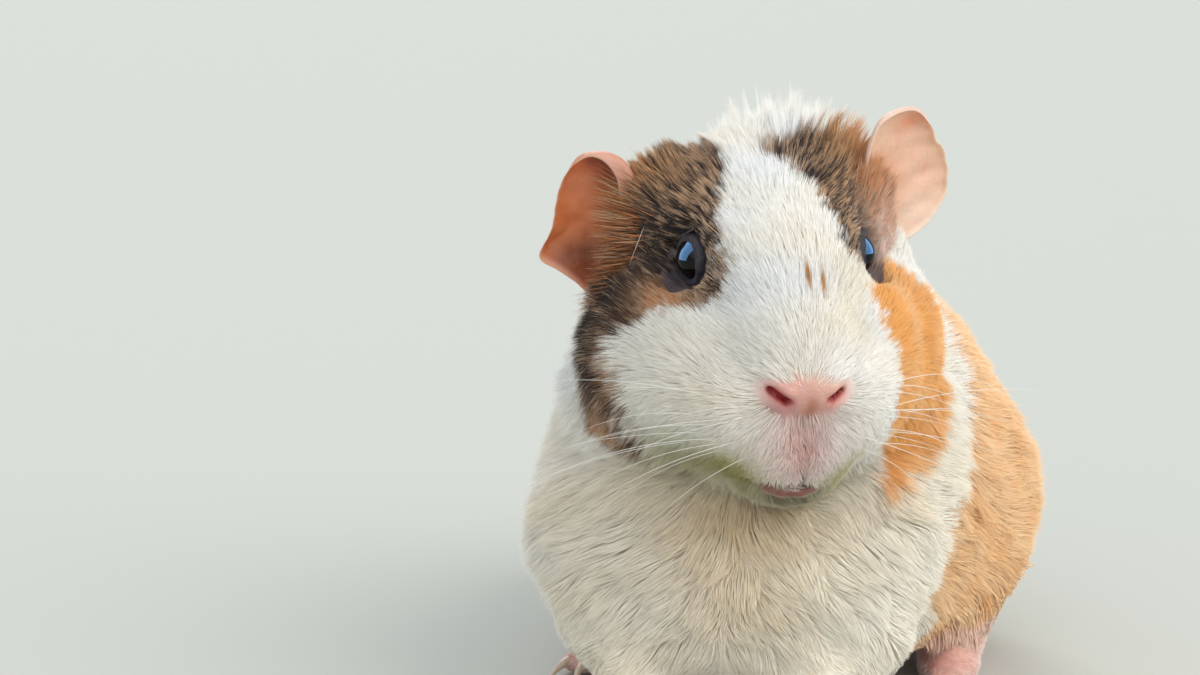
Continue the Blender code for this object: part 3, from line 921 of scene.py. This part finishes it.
def hair_mesh(name, line, normals, width, roll, base, tip, turned, uv):
    """Tapered ribbons along the lines, each with its patch on the unwrap.

    Their colour turns from base to tip: turned is how far it has got half way along.
    """
    count = len(line)
    way = unit(line[:, -1] - line[:, 0])
    across = unit(np.cross(way, normals))
    up = np.cross(across, way)
    side = across * np.cos(roll)[:, None] + up * np.sin(roll)[:, None]
    half = side[:, None] * (width[:, None] * TAPER[None, :])[..., None] * MM / 2
    ribbon = np.stack([line[:, :-1] - half, line[:, :-1] + half], 2).reshape(count, 4, 3)
    points = np.concatenate([ribbon, line[:, -1:]], 1)
    pattern = np.array((0, 1, 3, 2, 2, 3, 4))
    corners = (np.arange(count)[:, None] * 5 + pattern).ravel()
    mesh = bpy.data.meshes.new(name)
    mesh.vertices.add(count * 5)
    mesh.vertices.foreach_set("co", points.astype(np.float32).ravel())
    mesh.loops.add(count * 7)
    mesh.loops.foreach_set("vertex_index", corners.astype(np.int32))
    mesh.polygons.add(count * 2)
    starts = (np.arange(count)[:, None] * 7 + np.array((0, 4))).ravel()
    mesh.polygons.foreach_set("loop_start", starts.astype(np.int32))
    mesh.update(calc_edges=True)
    along = np.array((0, 0, 0.5, 0.5, 1.0))
    beside = np.array((-0.5, 0.5, -0.5, 0.5, 0))
    share = np.stack([0 * turned, 0 * turned, turned, turned, 1 + 0 * turned], 1)
    colours = base[:, None] + (tip - base)[:, None] * share[..., None]
    paint(mesh, colours.reshape(-1, 3))
    patch = np.stack([beside, along - 0.5], 1) * 0.003
    spread = (uv[:, None] + patch[None])[:, pattern].reshape(-1, 2)
    layer = mesh.uv_layers.new(name="OFBake")
    layer.data.foreach_set("uv", spread.astype(np.float32).ravel())
    return mesh


def over_ears(roots, total):
    """Hairs that reach from the head over the inner part of each ear: which they are, and their lines."""
    head = into(roots, HEAD)
    chosen, lines = [], []
    for fringe in EAR_FRINGES:
        number = total // fringe["one_in"]
        odds = spot(head, fringe["centre"], (4, 6, 12)) ** 2
        some = rng.choice(len(roots), number, replace=False, p=odds / odds.sum())
        root = head[some]
        from_x, from_z = fringe["fans_from"]
        aside = root[:, 0] - from_x
        way = unit(np.stack([aside, fringe["sweep"] * np.abs(aside), root[:, 2] - from_z], 1))
        way = unit(way + rng.normal(0, 0.12, way.shape))
        length = rng.uniform(4, fringe["longest"], number)[:, None]
        ahead = np.array((0, 1, 0)) * rng.uniform(0.6, 1.8, number)[:, None]
        lines.append(np.stack([root, root + way * length * 0.5 - ahead, root + way * length], 1))
        chosen.append(some)
    return np.concatenate(chosen), out_of(np.concatenate(lines), HEAD)


def onto_lids(head):
    """Roots in the head's frame, with those near the eyes raised to the lids that cover the skin there."""
    for side in SIDES.values():
        tilt, turn, away = eye_angles(head, side)
        near = (away < 9) & (tilt < lid_margin(turn) + radians(26))
        centre = np.array((side * EYE_SPACING / 2, 0, 0))
        rim = EYE_RADIUS + 0.5 + 0.5 * np.clip(-np.cos(turn), 0, 1)
        lifted = centre + (head - centre) * (np.maximum(away, rim) / away)[:, None]
        head = np.where(near[:, None], lifted, head)
    return head


def hair_forms(roots, head, body, lie, rise, feet):
    """Each hair's length, height over the outline and width, in millimetres, and how far it is one of the
    face, of the chest and of a tuft, from 0 to 1."""
    number = len(roots)
    height = roots[:, 2] / MM
    y, z = head[:, 1], head[:, 2]
    hanging = step(height, 4, 14) * step(height, 46, 26) * (z < -52)
    jaw = spots(head, ((-20, -10, -42), (16, 14, 10), 1), ((20, -8, -42), (12, 12, 9), 0.6))
    length = np.maximum(rise * 2.2 + 1.2, 3.2 * step(y, -32, -26)) + jaw * 6.5 + 2.5 * step(y, 14, 40)
    length = length - spot(head, (5, 26, 20), (16, 12, 12)) * 3
    length = np.maximum(length, hanging * 9)
    length = length * (1 - 0.68 * spot(head, (-2, -31, -36.5), (11, 10, 4.5)))
    length = length * rng.uniform(0.7, 1.15, number)
    stray = rng.random(number) < 0.04
    length = length * np.where(stray, 1.25, 1)
    face = step(y, 16, 0) * step(z, -52, -44)
    chest = step(body[:, 1], 30, 8) * (1 - face)
    sunk = rng.uniform(mix(-0.5, -0.3, np.maximum(face, chest)), 0.08)
    above = np.where(stray, rng.uniform(0.1, 0.4, number), sunk) * np.minimum(rise, 5)
    above = above + 0.8 * chest * wander(body, 11, 23) + 0.4 * chest * wander(body, 5, 24)
    end = into(roots + lie * length[:, None] * MM, HEAD)
    tuft = spots(end, *TUFTS)
    above = above + (tuft + 4.5 * jaw) * rng.uniform(0.05, 1.1, number)
    fine = step(y, 44, 26) * step(z, -52, -44)
    width = (mix(0.2, 0.115, fine) - 0.05 * chest) * rng.uniform(0.75, 1.3, number)
    width = mix(width, 0.08, feet)
    length = mix(length, rng.uniform(1.5, 3.2, number), feet)
    above = mix(above, rng.uniform(0.1, 0.7, number), feet)
    return length, above, width, face, chest, np.clip((tuft + 2 * jaw) / 5, 0, 1)


def hair_shades(line, fringe, lock, wisp):
    """Each hair's colours at base and tip, and how ticked it is. The last, fringe of them, cross the ears."""
    number = len(line) - fringe
    by_lock = np.random.default_rng(5).random((2, lock.max() + 1))[:, lock]
    by_wisp = np.random.default_rng(6).random(wisp.max() + 1)[wisp]
    ticks = by_lock[0] * 0.2 + by_wisp * 0.5 + rng.random(len(line)) * 0.3
    ticks = np.clip((ticks - 0.5) * 1.25 + 0.5, 0, 1)
    jitter = (by_lock[1] - 0.5) * 1.6 + rng.normal(0, 0.25, len(line))
    place = mix(line[:, 1], line[:, 2], 0.7)
    place[number:] = line[number:, 0]
    base, tip, ticked = markings(place, jitter, ticks)
    warm = np.clip(ticks[number:] * 1.6 - 0.3, 0, 0.9)
    base[number:] = tint(base[number:], linear(BROWN), warm)
    tip[number:] = tint(tip[number:], linear(FRINGE_TIP), warm)
    glow = rng.normal(1, 0.06, len(line))[:, None] * (0.95 + 0.08 * by_lock[0][:, None])
    glow = glow * (1 + ticked * (by_wisp - 0.5) * 0.5)[:, None]
    # Painted shade at the roots: every hair's base colour is dimmed a little.
    return np.clip(base * glow * 0.95, 0, 1), np.clip(tip * glow, 0, 1), ticked


def grow_coat(skin, outline, material):
    """All the hair, in pieces small enough for the export."""
    number = HAIRS
    roots, normals, rise, uv = sow(skin.data, coat_depth(points_of(skin.data)), number)
    head = onto_lids(into(roots, HEAD))
    roots = out_of(head, HEAD)
    body = into(roots, BODY)
    lie = flow(roots, normals)
    feet = on_feet(roots)
    rise = np.maximum(rise, mix(1.6, 0.35, feet) * step(roots[:, 2] / MM, 2.5, 5))
    length, above, width, face, chest, wispy = hair_forms(roots, head, body, lie, rise, feet)
    bend = rng.normal(0, 0.09, number) * length
    line = fitted(strands(roots, normals, lie, length, rise, bend), outline, above)

    pull = mix(0.4, 0.3, face) - 0.12 * chest + 0.35 * wispy + rng.normal(0, 0.16, number)
    pull = np.clip(pull, 0, 0.92) * (1 - feet)
    line, _ = gathered(line, roots, 300, 0.3 * chest)
    line, lock = gathered(line, roots, 30, pull)
    line, wisp = gathered(line, roots, 8, 0.35 * (1 - feet))
    splay = np.clip(rng.normal(0, 1, (lock.max() + 1, 3)), -1.2, 1.2)[lock] * (2.6 * wispy * MM)[:, None]
    line = line + splay[:, None] * STATIONS[None, :, None] ** 1.5

    extra, over = over_ears(roots, number)
    picked = np.concatenate([np.arange(number), extra])
    line = np.concatenate([line, over])
    normals, uv, width, lock, wisp = (values[picked] for values in (normals, uv, width, lock, wisp))
    roll = rng.normal(0, 1, len(picked)) * mix(0.35, 0.2, face[picked])
    normals[number:] = turn_of(HEAD) @ np.array((0, -1, 0))
    width[number:] = 0.16
    base, tip, ticked = hair_shades(line, len(extra), lock, wisp)

    head, body = head[picked], body[picked]
    on_head = (head[:, 1] < 30) & (head[:, 2] > -52)
    for slot, mine in (("coat_head", on_head), ("coat_body", ~on_head)):
        order = np.flatnonzero(mine)
        order = order[np.argsort(body[order, 1])]
        for index, some in enumerate(np.array_split(order, -(-len(order) // HAIRS_IN_A_PIECE))):
            piece = hair_mesh(
                f"{slot}_{index}", line[some], normals[some], width[some], roll[some],
                base[some], tip[some], mix(0.8, 0.65, ticked[some]), uv[some],
            )
            finish_piece(new_object(piece.name, piece), slot, material)


# Eyes


def eye_frame(side):
    """The eye's own frame in millimetres: +Z looks out, +X runs back along the lids and +Y up."""
    out = Vector((side * sin(EYE_TURN), -cos(EYE_TURN), 0))
    back = Vector((side * cos(EYE_TURN), sin(EYE_TURN), 0))
    turned = Matrix((back, Vector((0, 0, 1)), out)).transposed().to_4x4()
    return HEAD @ Matrix.Scale(MM, 4) @ Matrix.Translation((side * EYE_SPACING / 2, 0, 0)) @ turned


def placed(points, place):
    """Points of an array in a frame that has its own scale, as world points."""
    matrix = np.array(place)
    return points @ matrix[:3, :3].T + matrix[:3, 3]


def around(tilt, turn, radius):
    """Points on a ball at a tilt from its axis and a turn about it."""
    tilt, turn, radius = np.broadcast_arrays(tilt, turn, radius)
    flat = radius * np.sin(tilt)
    return np.stack([flat * np.cos(turn), flat * np.sin(turn), radius * np.cos(tilt)], -1)


def add_eye(word, side, material):
    """An eyeball with a swollen cornea."""
    tilt = np.linspace(0.02, pi - 0.02, 40)[:, None]
    turn = np.linspace(0, 2 * pi, 48, endpoint=False)[None, :]
    cornea = 0.45 * np.clip(1 - (tilt / radians(50)) ** 2, 0, 1) ** 2
    rows = placed(around(tilt, turn, EYE_RADIUS - 0.1 + cornea), eye_frame(side))
    mesh = grid_mesh(f"eyeball_{word}", rows, caps=True)
    share = np.repeat(tilt[:, 0], 48)
    iris = step(share, radians(24), radians(30)) * (1 - step(share, radians(44), radians(50)))
    colours = tint(linear(PUPIL), linear(IRIS), iris)
    white = step(share, radians(66), radians(74))
    paint(mesh, tint(colours, linear(EYE_WHITE), white * 0.7))
    return finish_piece(new_object(mesh.name, mesh), "eye_glossy", material, f"eye_{word}")


# The lids' section, from the edge on the eyeball outward: degrees past the opening, and height over the ball
LID_PROFILE = ((-4, -0.3), (-1, 0.05), (0, 0.3), (3, 0.55), (8, 0.65), (16, 0.5), (24, 0.35), (31, 0.2))


def add_lids(word, side, material, skin_tree):
    """The rims of the lids round the eyeball, laid back into the skin."""
    count = 72
    turn = np.linspace(0, 2 * pi, count, endpoint=False)
    opening = eye_opening(turn)
    thick = 0.25 * np.clip(-np.cos(turn), 0, 1) + 0.2 * np.clip(-np.sin(turn), 0, 1)
    place = eye_frame(side)
    centre = place.translation
    rows = []
    for more, lift in LID_PROFILE:
        tilt = opening + radians(more)
        wrinkle = 0.06 * np.sin(turn * 13 + more) * (more > 2)
        rows.append(placed(around(tilt, turn, EYE_RADIUS + lift + wrinkle + thick * (more > 2)), place))
    last = []
    for way in unit(rows[-1] - np.array(centre)):
        hit = skin_tree.ray_cast(centre + Vector(way) * (EYE_RADIUS - 1) * MM, Vector(way), 6 * MM)[0]
        reach = (hit - centre).length / MM if hit else EYE_RADIUS
        last.append(np.array(centre) + way * min(reach - 0.4, EYE_RADIUS + 1.5) * MM)
    rows.append(np.array(last))
    mesh = grid_mesh(f"eyelids_{word}", np.array(rows))
    shade = np.clip(0.5 + 0.5 * wander(into(points_of(mesh), HEAD), 2.5, 31), 0, 1)
    below = step(np.tile(np.sin(turn), len(rows)), -0.3, -0.8)
    ring = np.repeat(np.arange(len(rows)), count)
    colours = tint(linear(LID), linear(PALE_LID), shade * 0.5)
    paint(mesh, tint(colours, linear(LOWER_LID), below * ((ring > 2) & (ring < 6)) * 0.8))
    finish_piece(new_object(mesh.name, mesh), "coat_head", material)


# Ears

# Each ear: its middle in the head's frame, how it is swept back, its dish's depth, the length of the
# rolled flap on its upper edge, and its outline as a radius at each angle, from outward (0) to up (90).
# Then its colours: the whole, daubs with their middles, radii and strengths (on the right ear a painted
# highlight and painted shade), the rim, and how strong the painted shade under the flap and the flap's
# own back are
EARS = {
    "left": dict(
        place=(34, 23, 8), turn=0.6, pivot=2, sweep=0.28, dish=3.0, flap=0.8,
        angles=(
            -155, -117, -103, -90, -77, -65, -50, -37, -16, 16, 39, 55, 63, 75, 84, 93, 103, 115, 126, 146,
            173,
        ),
        radii=(
            10.8, 12.6, 14.9, 14.2, 13.3, 12.3, 11.1, 10.5, 9.1, 8.3, 9.1, 9.1, 10.8, 12.8, 15.2, 16.5, 16.7,
            16.9, 14.7, 11.7, 10.3,
        ),
        colour=(238, 196, 170),
        daubs=(
            ((222, 150, 104), (-7, -3, -3), (6, 9, 9), 0.8),
            ((244, 158, 120), (-1, 0, 12.5), (3, 9, 1.8), 0.8),
            ((232, 206, 190), (2, 3, -9), (6, 9, 5), 0.6),
        ),
        rim=(246, 222, 208), shade=0, flap_share=0.3,
    ),
    "right": dict(
        place=(-35, 21, 0), turn=0.2, pivot=0, sweep=-0.14, dish=5.0, flap=6.0,
        angles=(
            -164, -123, -103, -90, -77, -64, -51, -42, -34, -20, -4, 17, 38, 56, 70, 82, 94, 109, 120, 146,
        ),
        radii=(
            9.9, 14.1, 17, 16, 13.2, 12.4, 12.3, 13, 13.5, 9.9, 8.2, 8.1, 9.4, 11.6, 14.1, 16.3, 16.7, 16.4,
            14.9, 11.2,
        ),
        colour=(226, 142, 92),
        # A painted highlight high in the middle, then painted shade low down, on the side by the head and by
        # the fold.
        daubs=(
            ((232, 160, 120), (-2.5, 3, 8), (3, 9, 3.5), 0.8),
            ((104, 50, 24), (0, 3, -10), (12, 12, 6), 1.1),
            ((110, 54, 28), (8, 3, 0), (5, 12, 10), 0.8),
            ((160, 80, 42), (4, 3, 10), (3.5, 9, 6), 0.8),
        ),
        rim=(226, 170, 146), shade=0.8, flap_share=0.7,
    ),
}


def ear_rim(angle, angles, radii):
    """The outline's radius at each angle, smooth all the way round."""
    fine = np.linspace(-180, 180, 360, endpoint=False)
    radius = np.interp(fine, angles, radii, period=360)
    shift = np.arange(-12, 13)
    kernel = np.exp(-((shift / 5) ** 2))
    soft = sum(np.roll(radius, places) * weight for places, weight in zip(shift, kernel)) / kernel.sum()
    return np.interp(np.degrees(angle), fine, soft, period=360)


def ear_sheet(side, reach, angle, form):
    """The middle surface of an ear in the head's frame: a dish, its upper edge rolled over as a flap."""
    degrees = np.degrees(angle)
    rim = ear_rim(angle, form["angles"], form["radii"])
    roll = 1.1
    start = 0.8
    window = step(degrees, 58, 84) * step(degrees, 178, 140)
    flap = form["flap"] * step(degrees, 82, 126)
    arc = np.clip(reach - start, 0, None) / (1 - start) * (roll * 2.2 + flap * window)
    bent = np.minimum(arc / roll, pi * 0.9)
    straight = np.clip(arc - roll * pi * 0.9, 0, None)
    turned = np.minimum(reach / start, 1) * (rim - roll) + roll * np.sin(bent) - straight
    radius = mix(rim * reach, turned, window)
    forward = roll * (1 - np.cos(bent)) + 0.12 * straight
    x, z = radius * np.cos(angle), radius * np.sin(angle)
    dish = form["dish"] * (1 - np.minimum(reach, 1) ** 2)
    folds = 0.35 * np.sin((z - 0.5 * x) * 0.9) * step(reach, 1, 0.6) * step(x, -9, 2)
    folds = folds + 0.12 * wander(np.stack([x, 0 * x, z], -1).reshape(-1, 3), 5, 43).reshape(x.shape)
    lip = 0.5 * step(reach, 0.85, 1) * (1 - window)
    y = form["turn"] * (x - form["pivot"]) + dish - folds - forward * window - lip
    return np.stack([side * x + form["sweep"] * y, y, z], -1) + np.array(form["place"], float)


def add_ear(word, side, material):
    """An ear as a closed sheet, thickest in its middle."""
    form = EARS[word]
    across, rounds = 34, 120
    reach = np.linspace(0.03, 1, across) ** 0.8
    angle = np.linspace(-pi, pi, rounds, endpoint=False)
    reach, angle = np.meshgrid(reach, angle, indexing="ij")
    sheet = ear_sheet(side, reach, angle, form)
    round_it = np.roll(sheet, -1, 1) - np.roll(sheet, 1, 1)
    normal = unit(np.cross(np.gradient(sheet, axis=0), round_it)) * side
    thick = (0.34 + 0.4 * step(reach, 0.8, 0.1)) * np.sqrt(np.clip(1 - reach**14, 0.03, 1))
    front = sheet - normal * thick[..., None] / 2
    back = sheet + normal * thick[..., None] / 2
    rows = np.concatenate([front, back[::-1]])
    mesh = grid_mesh(f"earflap_{word}", out_of(rows, HEAD), caps=True)
    far = np.concatenate([reach, reach[::-1]]).ravel()
    way = np.degrees(np.tile(angle, (2, 1)).ravel())
    paint(mesh, ear_colours(form, rows.reshape(-1, 3) - np.array(form["place"]), far, way))
    clean = bmesh.new()
    clean.from_mesh(mesh)
    bmesh.ops.recalc_face_normals(clean, faces=clean.faces)
    clean.to_mesh(mesh)
    clean.free()
    finish_piece(new_object(mesh.name, mesh), "skin_ear", material, f"ear_{word}")


def ear_colours(form, local, reach, degrees):
    """An ear's colours, with faint veins, a paler rim, and shade under the rolled flap."""
    base = linear(form["colour"])
    veins = np.clip(wander(local * (1, 1, 0.45), 5, 41) - 0.5, 0, 1)
    colours = tint(np.repeat(base[None], len(local), 0), base * (0.95, 0.72, 0.66), veins * 0.4)
    # On the right ear these daubs are a painted highlight and painted shade.
    for colour, centre, radii, strength in form["daubs"]:
        colours = tint(colours, linear(colour), np.minimum(spot(local, centre, radii) * strength, 0.8))
    under = step(degrees, 78, 92) * step(degrees, 150, 125) * np.exp(-(((reach - 0.72) / 0.12) ** 2))
    colours = tint(colours, linear(UNDER_FLAP), under * form["shade"])
    colours = tint(colours, linear(form["rim"]), step(reach, 0.86, 0.98) * 0.6)
    flap = step(degrees, 70, 90) * step(degrees, 175, 150) * step(reach, 0.82, 0.88)
    return tint(colours, linear(FLAP_BACK), flap * form["flap_share"])


# Claws and whiskers


def tube(name, middle_line, radii, sides):
    """A round tapering rod along world points. radii are in millimetres."""
    line = np.asarray(middle_line, float)
    way = unit(np.gradient(line, axis=0))
    first = unit(np.cross(way, (0.31, 0.2, 0.93)))
    second = np.cross(way, first)
    turn = np.linspace(0, 2 * pi, sides, endpoint=False)
    ring = first[:, None] * np.cos(turn)[None, :, None] + second[:, None] * np.sin(turn)[None, :, None]
    rows = line[:, None] + ring * np.asarray(radii)[:, None, None] * MM
    return grid_mesh(name, rows, caps=True)


def joined(name, meshes):
    whole = bmesh.new()
    for mesh in meshes:
        whole.from_mesh(mesh)
        bpy.data.meshes.remove(mesh)
    bmesh.ops.recalc_face_normals(whole, faces=whole.faces)
    data = bpy.data.meshes.new(name)
    whole.to_mesh(data)
    whole.free()
    return new_object(name, data)


def add_claws(paw, word, side, material):
    """Curved claws, one at the tip of each toe."""
    form = PAW_FORMS[paw]
    long, thick = form["claw"]
    high = form["radius"] * 1.15
    rods = []
    for toe in toes(form, side):
        t = np.linspace(0, 1, 9)
        along = -form["length"] + long * 0.25 - long * 1.05 * t
        line = np.stack([0 * t, along, high + 0.5 * np.sin(pi * t) - (high - 0.45) * t**1.6], 1)
        rods.append(tube("claw", placed(line, toe), thick * (1.02 - 0.82 * t**1.4), 10))
    finish_piece(joined(f"claws_{paw}_{word}", rods), "skin_paw", material)


# Each row of whiskers on a side of the muzzle: its height, and how many there are
WHISKER_ROWS = ((-18, 3), (-22, 4), (-26, 4), (-30, 3))
# The long hairs over each eye: where they grow, as X and Z on the left, and the way they point
BROW_HAIRS = (((22.4, 5), (0.3, -1, -1.3)), ((22, 7), (0.15, -1, -1.3)), ((23.5, 6), (0.6, -0.9, -0.8)))


def hair_line(root, way, length, sag, curl):
    """A long hair in the head's frame: it leaves along way and bends down under its weight."""
    t = np.linspace(0, 1, 14)[:, None]
    way = unit(np.asarray(way, float))
    across = unit(np.cross(way, (0, 0, 1)))
    line = np.asarray(root, float) + way * length * t
    return line + across * curl * length * t**2 - np.array((0, 0, 1)) * sag * length * t**2.2


def add_whiskers(material, skin_tree):
    """The whiskers of the muzzle and the long hairs of the brows, each rooted where it meets the skin."""
    draw = np.random.default_rng(3)
    lines = []
    for side in SIDES.values():
        for height, count in WHISKER_ROWS:
            for index in range(count):
                back = index / max(count - 1, 1)
                x = side * (9 + 10 * back + draw.normal(0, 0.5))
                z = height - 1.5 * back + draw.normal(0, 0.5)
                way_y = 0.25 + 0.55 * back + draw.normal(0, 0.1)
                way_z = -0.12 + (height + 22) * 0.035 + draw.normal(0, 0.1)
                way = (side * (0.75 + 0.35 * back), way_y, way_z)
                length = draw.uniform(26, 44) * (0.75 + 0.35 * back)
                lines.append(((x, z), way, length, draw.uniform(0.10, 0.32), draw.normal(0, 0.12)))
        for (x, z), (way_x, way_y, way_z) in BROW_HAIRS:
            way = (side * way_x, way_y, way_z)
            lines.append(((side * x, z), way, draw.uniform(11, 15), 0.15, draw.normal(0, 0.1)))
    rods = []
    backward = Vector(turn_of(HEAD) @ np.array((0, 1, 0)))
    for (x, z), way, length, sag, curl in lines:
        start = Vector(out_of((x, -70, z), HEAD))
        hit = skin_tree.ray_cast(start, backward)[0]
        root = into(np.array(hit), HEAD)
        line = out_of(hair_line(root, way, length, sag, curl), HEAD)
        thick = 0.07 * (1 - np.linspace(0, 1, 14) ** 1.5 * 0.8)
        rods.append(tube("whisker", line, thick, 5))
    obj = joined("whiskers", rods)
    paint(obj.data, np.repeat(linear(WHISKER)[None], len(obj.data.vertices), 0))
    finish_piece(obj, "coat_head", material)


# Materials


def principled(name, **values):
    """A material whose shader has these values on its own sockets, with its node tree and its shader."""
    made = bpy.data.materials.new(name)
    made.use_nodes = True
    shader = made.node_tree.nodes["Principled BSDF"]
    for word, value in values.items():
        shader.inputs[word.replace("_", " ")].default_value = value
    return made, made.node_tree, shader


def noise(tree, scale, detail=3):
    place = tree.nodes.new("ShaderNodeTexCoord")
    node = tree.nodes.new("ShaderNodeTexNoise")
    node.inputs["Scale"].default_value = scale
    node.inputs["Detail"].default_value = detail
    tree.links.new(place.outputs["Object"], node.inputs["Vector"])
    return node.outputs["Fac"]


def ranged(tree, value, low, high):
    node = tree.nodes.new("ShaderNodeMapRange")
    node.inputs["To Min"].default_value = low
    node.inputs["To Max"].default_value = high
    tree.links.new(value, node.inputs["Value"])
    return node.outputs["Result"]


def painted(name, mottle=None, rough=None, relief=None, **values):
    """A material that shows a piece's painted colours.

    mottle is the scale of its lighter and darker spots with their range, rough the same for its roughness,
    and relief the scale, detail, depth and strength of its bump.
    """
    made, tree, shader = principled(name, **values)
    attribute = tree.nodes.new("ShaderNodeAttribute")
    attribute.attribute_name = "coat"
    colour = attribute.outputs["Color"]
    if mottle:
        scale, low, high = mottle
        node = tree.nodes.new("ShaderNodeVectorMath")
        node.operation = "SCALE"
        tree.links.new(colour, node.inputs[0])
        tree.links.new(ranged(tree, noise(tree, scale), low, high), node.inputs["Scale"])
        colour = node.outputs["Vector"]
    tree.links.new(colour, shader.inputs["Base Color"])
    if rough:
        scale, low, high = rough
        tree.links.new(ranged(tree, noise(tree, scale), low, high), shader.inputs["Roughness"])
    if relief:
        bump(tree, shader, *relief)
    return made


def bump(tree, shader, scale, detail, depth, strength):
    node = tree.nodes.new("ShaderNodeBump")
    node.inputs["Distance"].default_value = depth
    node.inputs["Strength"].default_value = strength
    tree.links.new(noise(tree, scale, detail), node.inputs["Height"])
    tree.links.new(node.outputs["Normal"], shader.inputs["Normal"])


def coat_look():
    return painted(
        "coat", mottle=(260, 0.93, 1.07), rough=(90, 0.5, 0.7),
        Roughness=0.6, Specular_IOR_Level=0.35, Sheen_Weight=0.25, Sheen_Roughness=0.4,
    )


def skin_look():
    return painted(
        "skin", mottle=(700, 0.9, 1.08), rough=(300, 0.4, 0.65), relief=(1500, 4, 0.0004, 0.6),
        Roughness=0.55, Subsurface_Weight=0.25, Subsurface_Scale=0.002,
    )


def eye_look():
    return painted("eye", Roughness=0.03, Specular_IOR_Level=0.22)


def ear_look():
    return painted(
        "ear", mottle=(500, 0.92, 1.06), relief=(1100, 4, 0.0002, 0.7),
        Roughness=0.5, Subsurface_Weight=0.35, Subsurface_Scale=0.0015, Subsurface_Radius=(1.0, 0.5, 0.35),
    )


def claw_look():
    made, tree, shader = principled("claw", Roughness=0.35, Subsurface_Weight=0.3, Subsurface_Scale=0.001)
    ramp = tree.nodes.new("ShaderNodeValToRGB")
    for element, colour in zip(ramp.color_ramp.elements, (HORN, PALE_HORN)):
        element.color = (*linear(colour), 1)
    tree.links.new(noise(tree, 900), ramp.inputs["Fac"])
    tree.links.new(ramp.outputs["Color"], shader.inputs["Base Color"])
    bump(tree, shader, 2600, 2, 0.00015, 0.5)
    return made


# Studio

# The lights: name, the way each comes from, its angle in degrees, energy and colour
SUNS = (
    ("key", (0.8, -0.5, 0.75), 50, 1.62, (1.0, 0.965, 0.91)),
    ("front", (-0.1, -0.8, 0.75), 70, 0.72, (1.0, 0.98, 0.95)),
    ("rim", (-0.1, 0.9, 0.75), 30, 1.0, (1.0, 0.98, 0.94)),
)


def add_light(name, kind, energy, colour, way):
    """A light that shines from way towards the animal."""
    light = bpy.data.lights.new(name, kind)
    light.energy = energy
    light.color = colour
    obj = bpy.data.objects.new(name, light)
    obj.rotation_euler = Vector(way).to_track_quat("Z", "Y").to_euler()
    bpy.context.scene.collection.objects.link(obj)
    return obj


def add_studio():
    """A pale floor under soft daylight, with a broad key high on the animal's left and a rim behind."""
    bpy.ops.mesh.primitive_plane_add(size=30)
    floor = bpy.context.object
    floor.name = "floor"
    made, _, shader = principled("floor", Roughness=0.9)
    shader.inputs["Base Color"].default_value = (0.55, 0.57, 0.53, 1)
    floor.data.materials.append(made)
    world = bpy.data.worlds.new("studio")
    bpy.context.scene.world = world
    world.use_nodes = True
    background = world.node_tree.nodes["Background"]
    background.inputs["Color"].default_value = (0.88, 0.94, 1.0, 1)
    background.inputs["Strength"].default_value = 0.62
    for name, way, angle, energy, colour in SUNS:
        add_light(name, "SUN", energy, colour, way).data.angle = radians(angle)
    bpy.context.scene.view_settings.view_transform = "Standard"


def add_sky_windows(eyes):
    """A broad pane of blue light on each side, which only the eyes reflect."""
    seen_by = bpy.data.collections.new("eyes")
    for eye in eyes:
        seen_by.objects.link(eye)
    for word, side in SIDES.items():
        way = Vector((side * 0.9, 0.0, 0.5))
        window = add_light(f"window_{word}", "AREA", 75, (0.22, 0.52, 1.0), way)
        window.data.size = 1.25
        window.location = EYES + way
        window.visible_diffuse = False
        window.light_linking.receiver_collection = seen_by


def add_camera():
    """A little above the eyes and half a metre in front, tilted down."""
    camera = bpy.data.cameras.new("camera")
    camera.sensor_width = 36
    camera.lens = 81.42
    camera.clip_start = 0.01
    obj = bpy.data.objects.new("camera", camera)
    obj.location = EYES + Vector((-0.0362, -0.555, 0.078))
    obj.rotation_euler = (radians(90 - 9.74), 0, 0)
    bpy.context.scene.collection.objects.link(obj)
    bpy.context.scene.camera = obj


def unwrap(obj):
    """The skin's own unwrap, which the coat's patches share."""
    bpy.context.view_layer.objects.active = obj
    for other in bpy.context.selected_objects:
        other.select_set(False)
    obj.select_set(True)
    for layer in list(obj.data.uv_layers):
        obj.data.uv_layers.remove(layer)
    obj.data.uv_layers.new(name="OFBake")
    bpy.ops.object.mode_set(mode="EDIT")
    bpy.ops.mesh.select_all(action="SELECT")
    bpy.ops.uv.smart_project(angle_limit=radians(66), island_margin=0.002)
    bpy.ops.object.mode_set(mode="OBJECT")


def main():
    add_camera()
    add_studio()
    skin, outline = build_skin()
    unwrap(skin)
    paint(skin.data, skin_colours(skin.data))
    bare = skin_look()
    finish_piece(skin, "coat_body", bare, *FLESH, *LIMBS, *PAWS)
    skin_tree = BVHTree.FromObject(skin, bpy.context.evaluated_depsgraph_get())
    glossy, thin, horn, hair = eye_look(), ear_look(), claw_look(), coat_look()
    add_sky_windows([add_eye(word, side, glossy) for word, side in SIDES.items()])
    for word, side in SIDES.items():
        add_lids(word, side, bare, skin_tree)
        add_ear(word, side, thin)
        for paw in PAW_FORMS:
            add_claws(paw, word, side, horn)
    add_whiskers(hair, skin_tree)
    grow_coat(skin, outline, hair)


main()
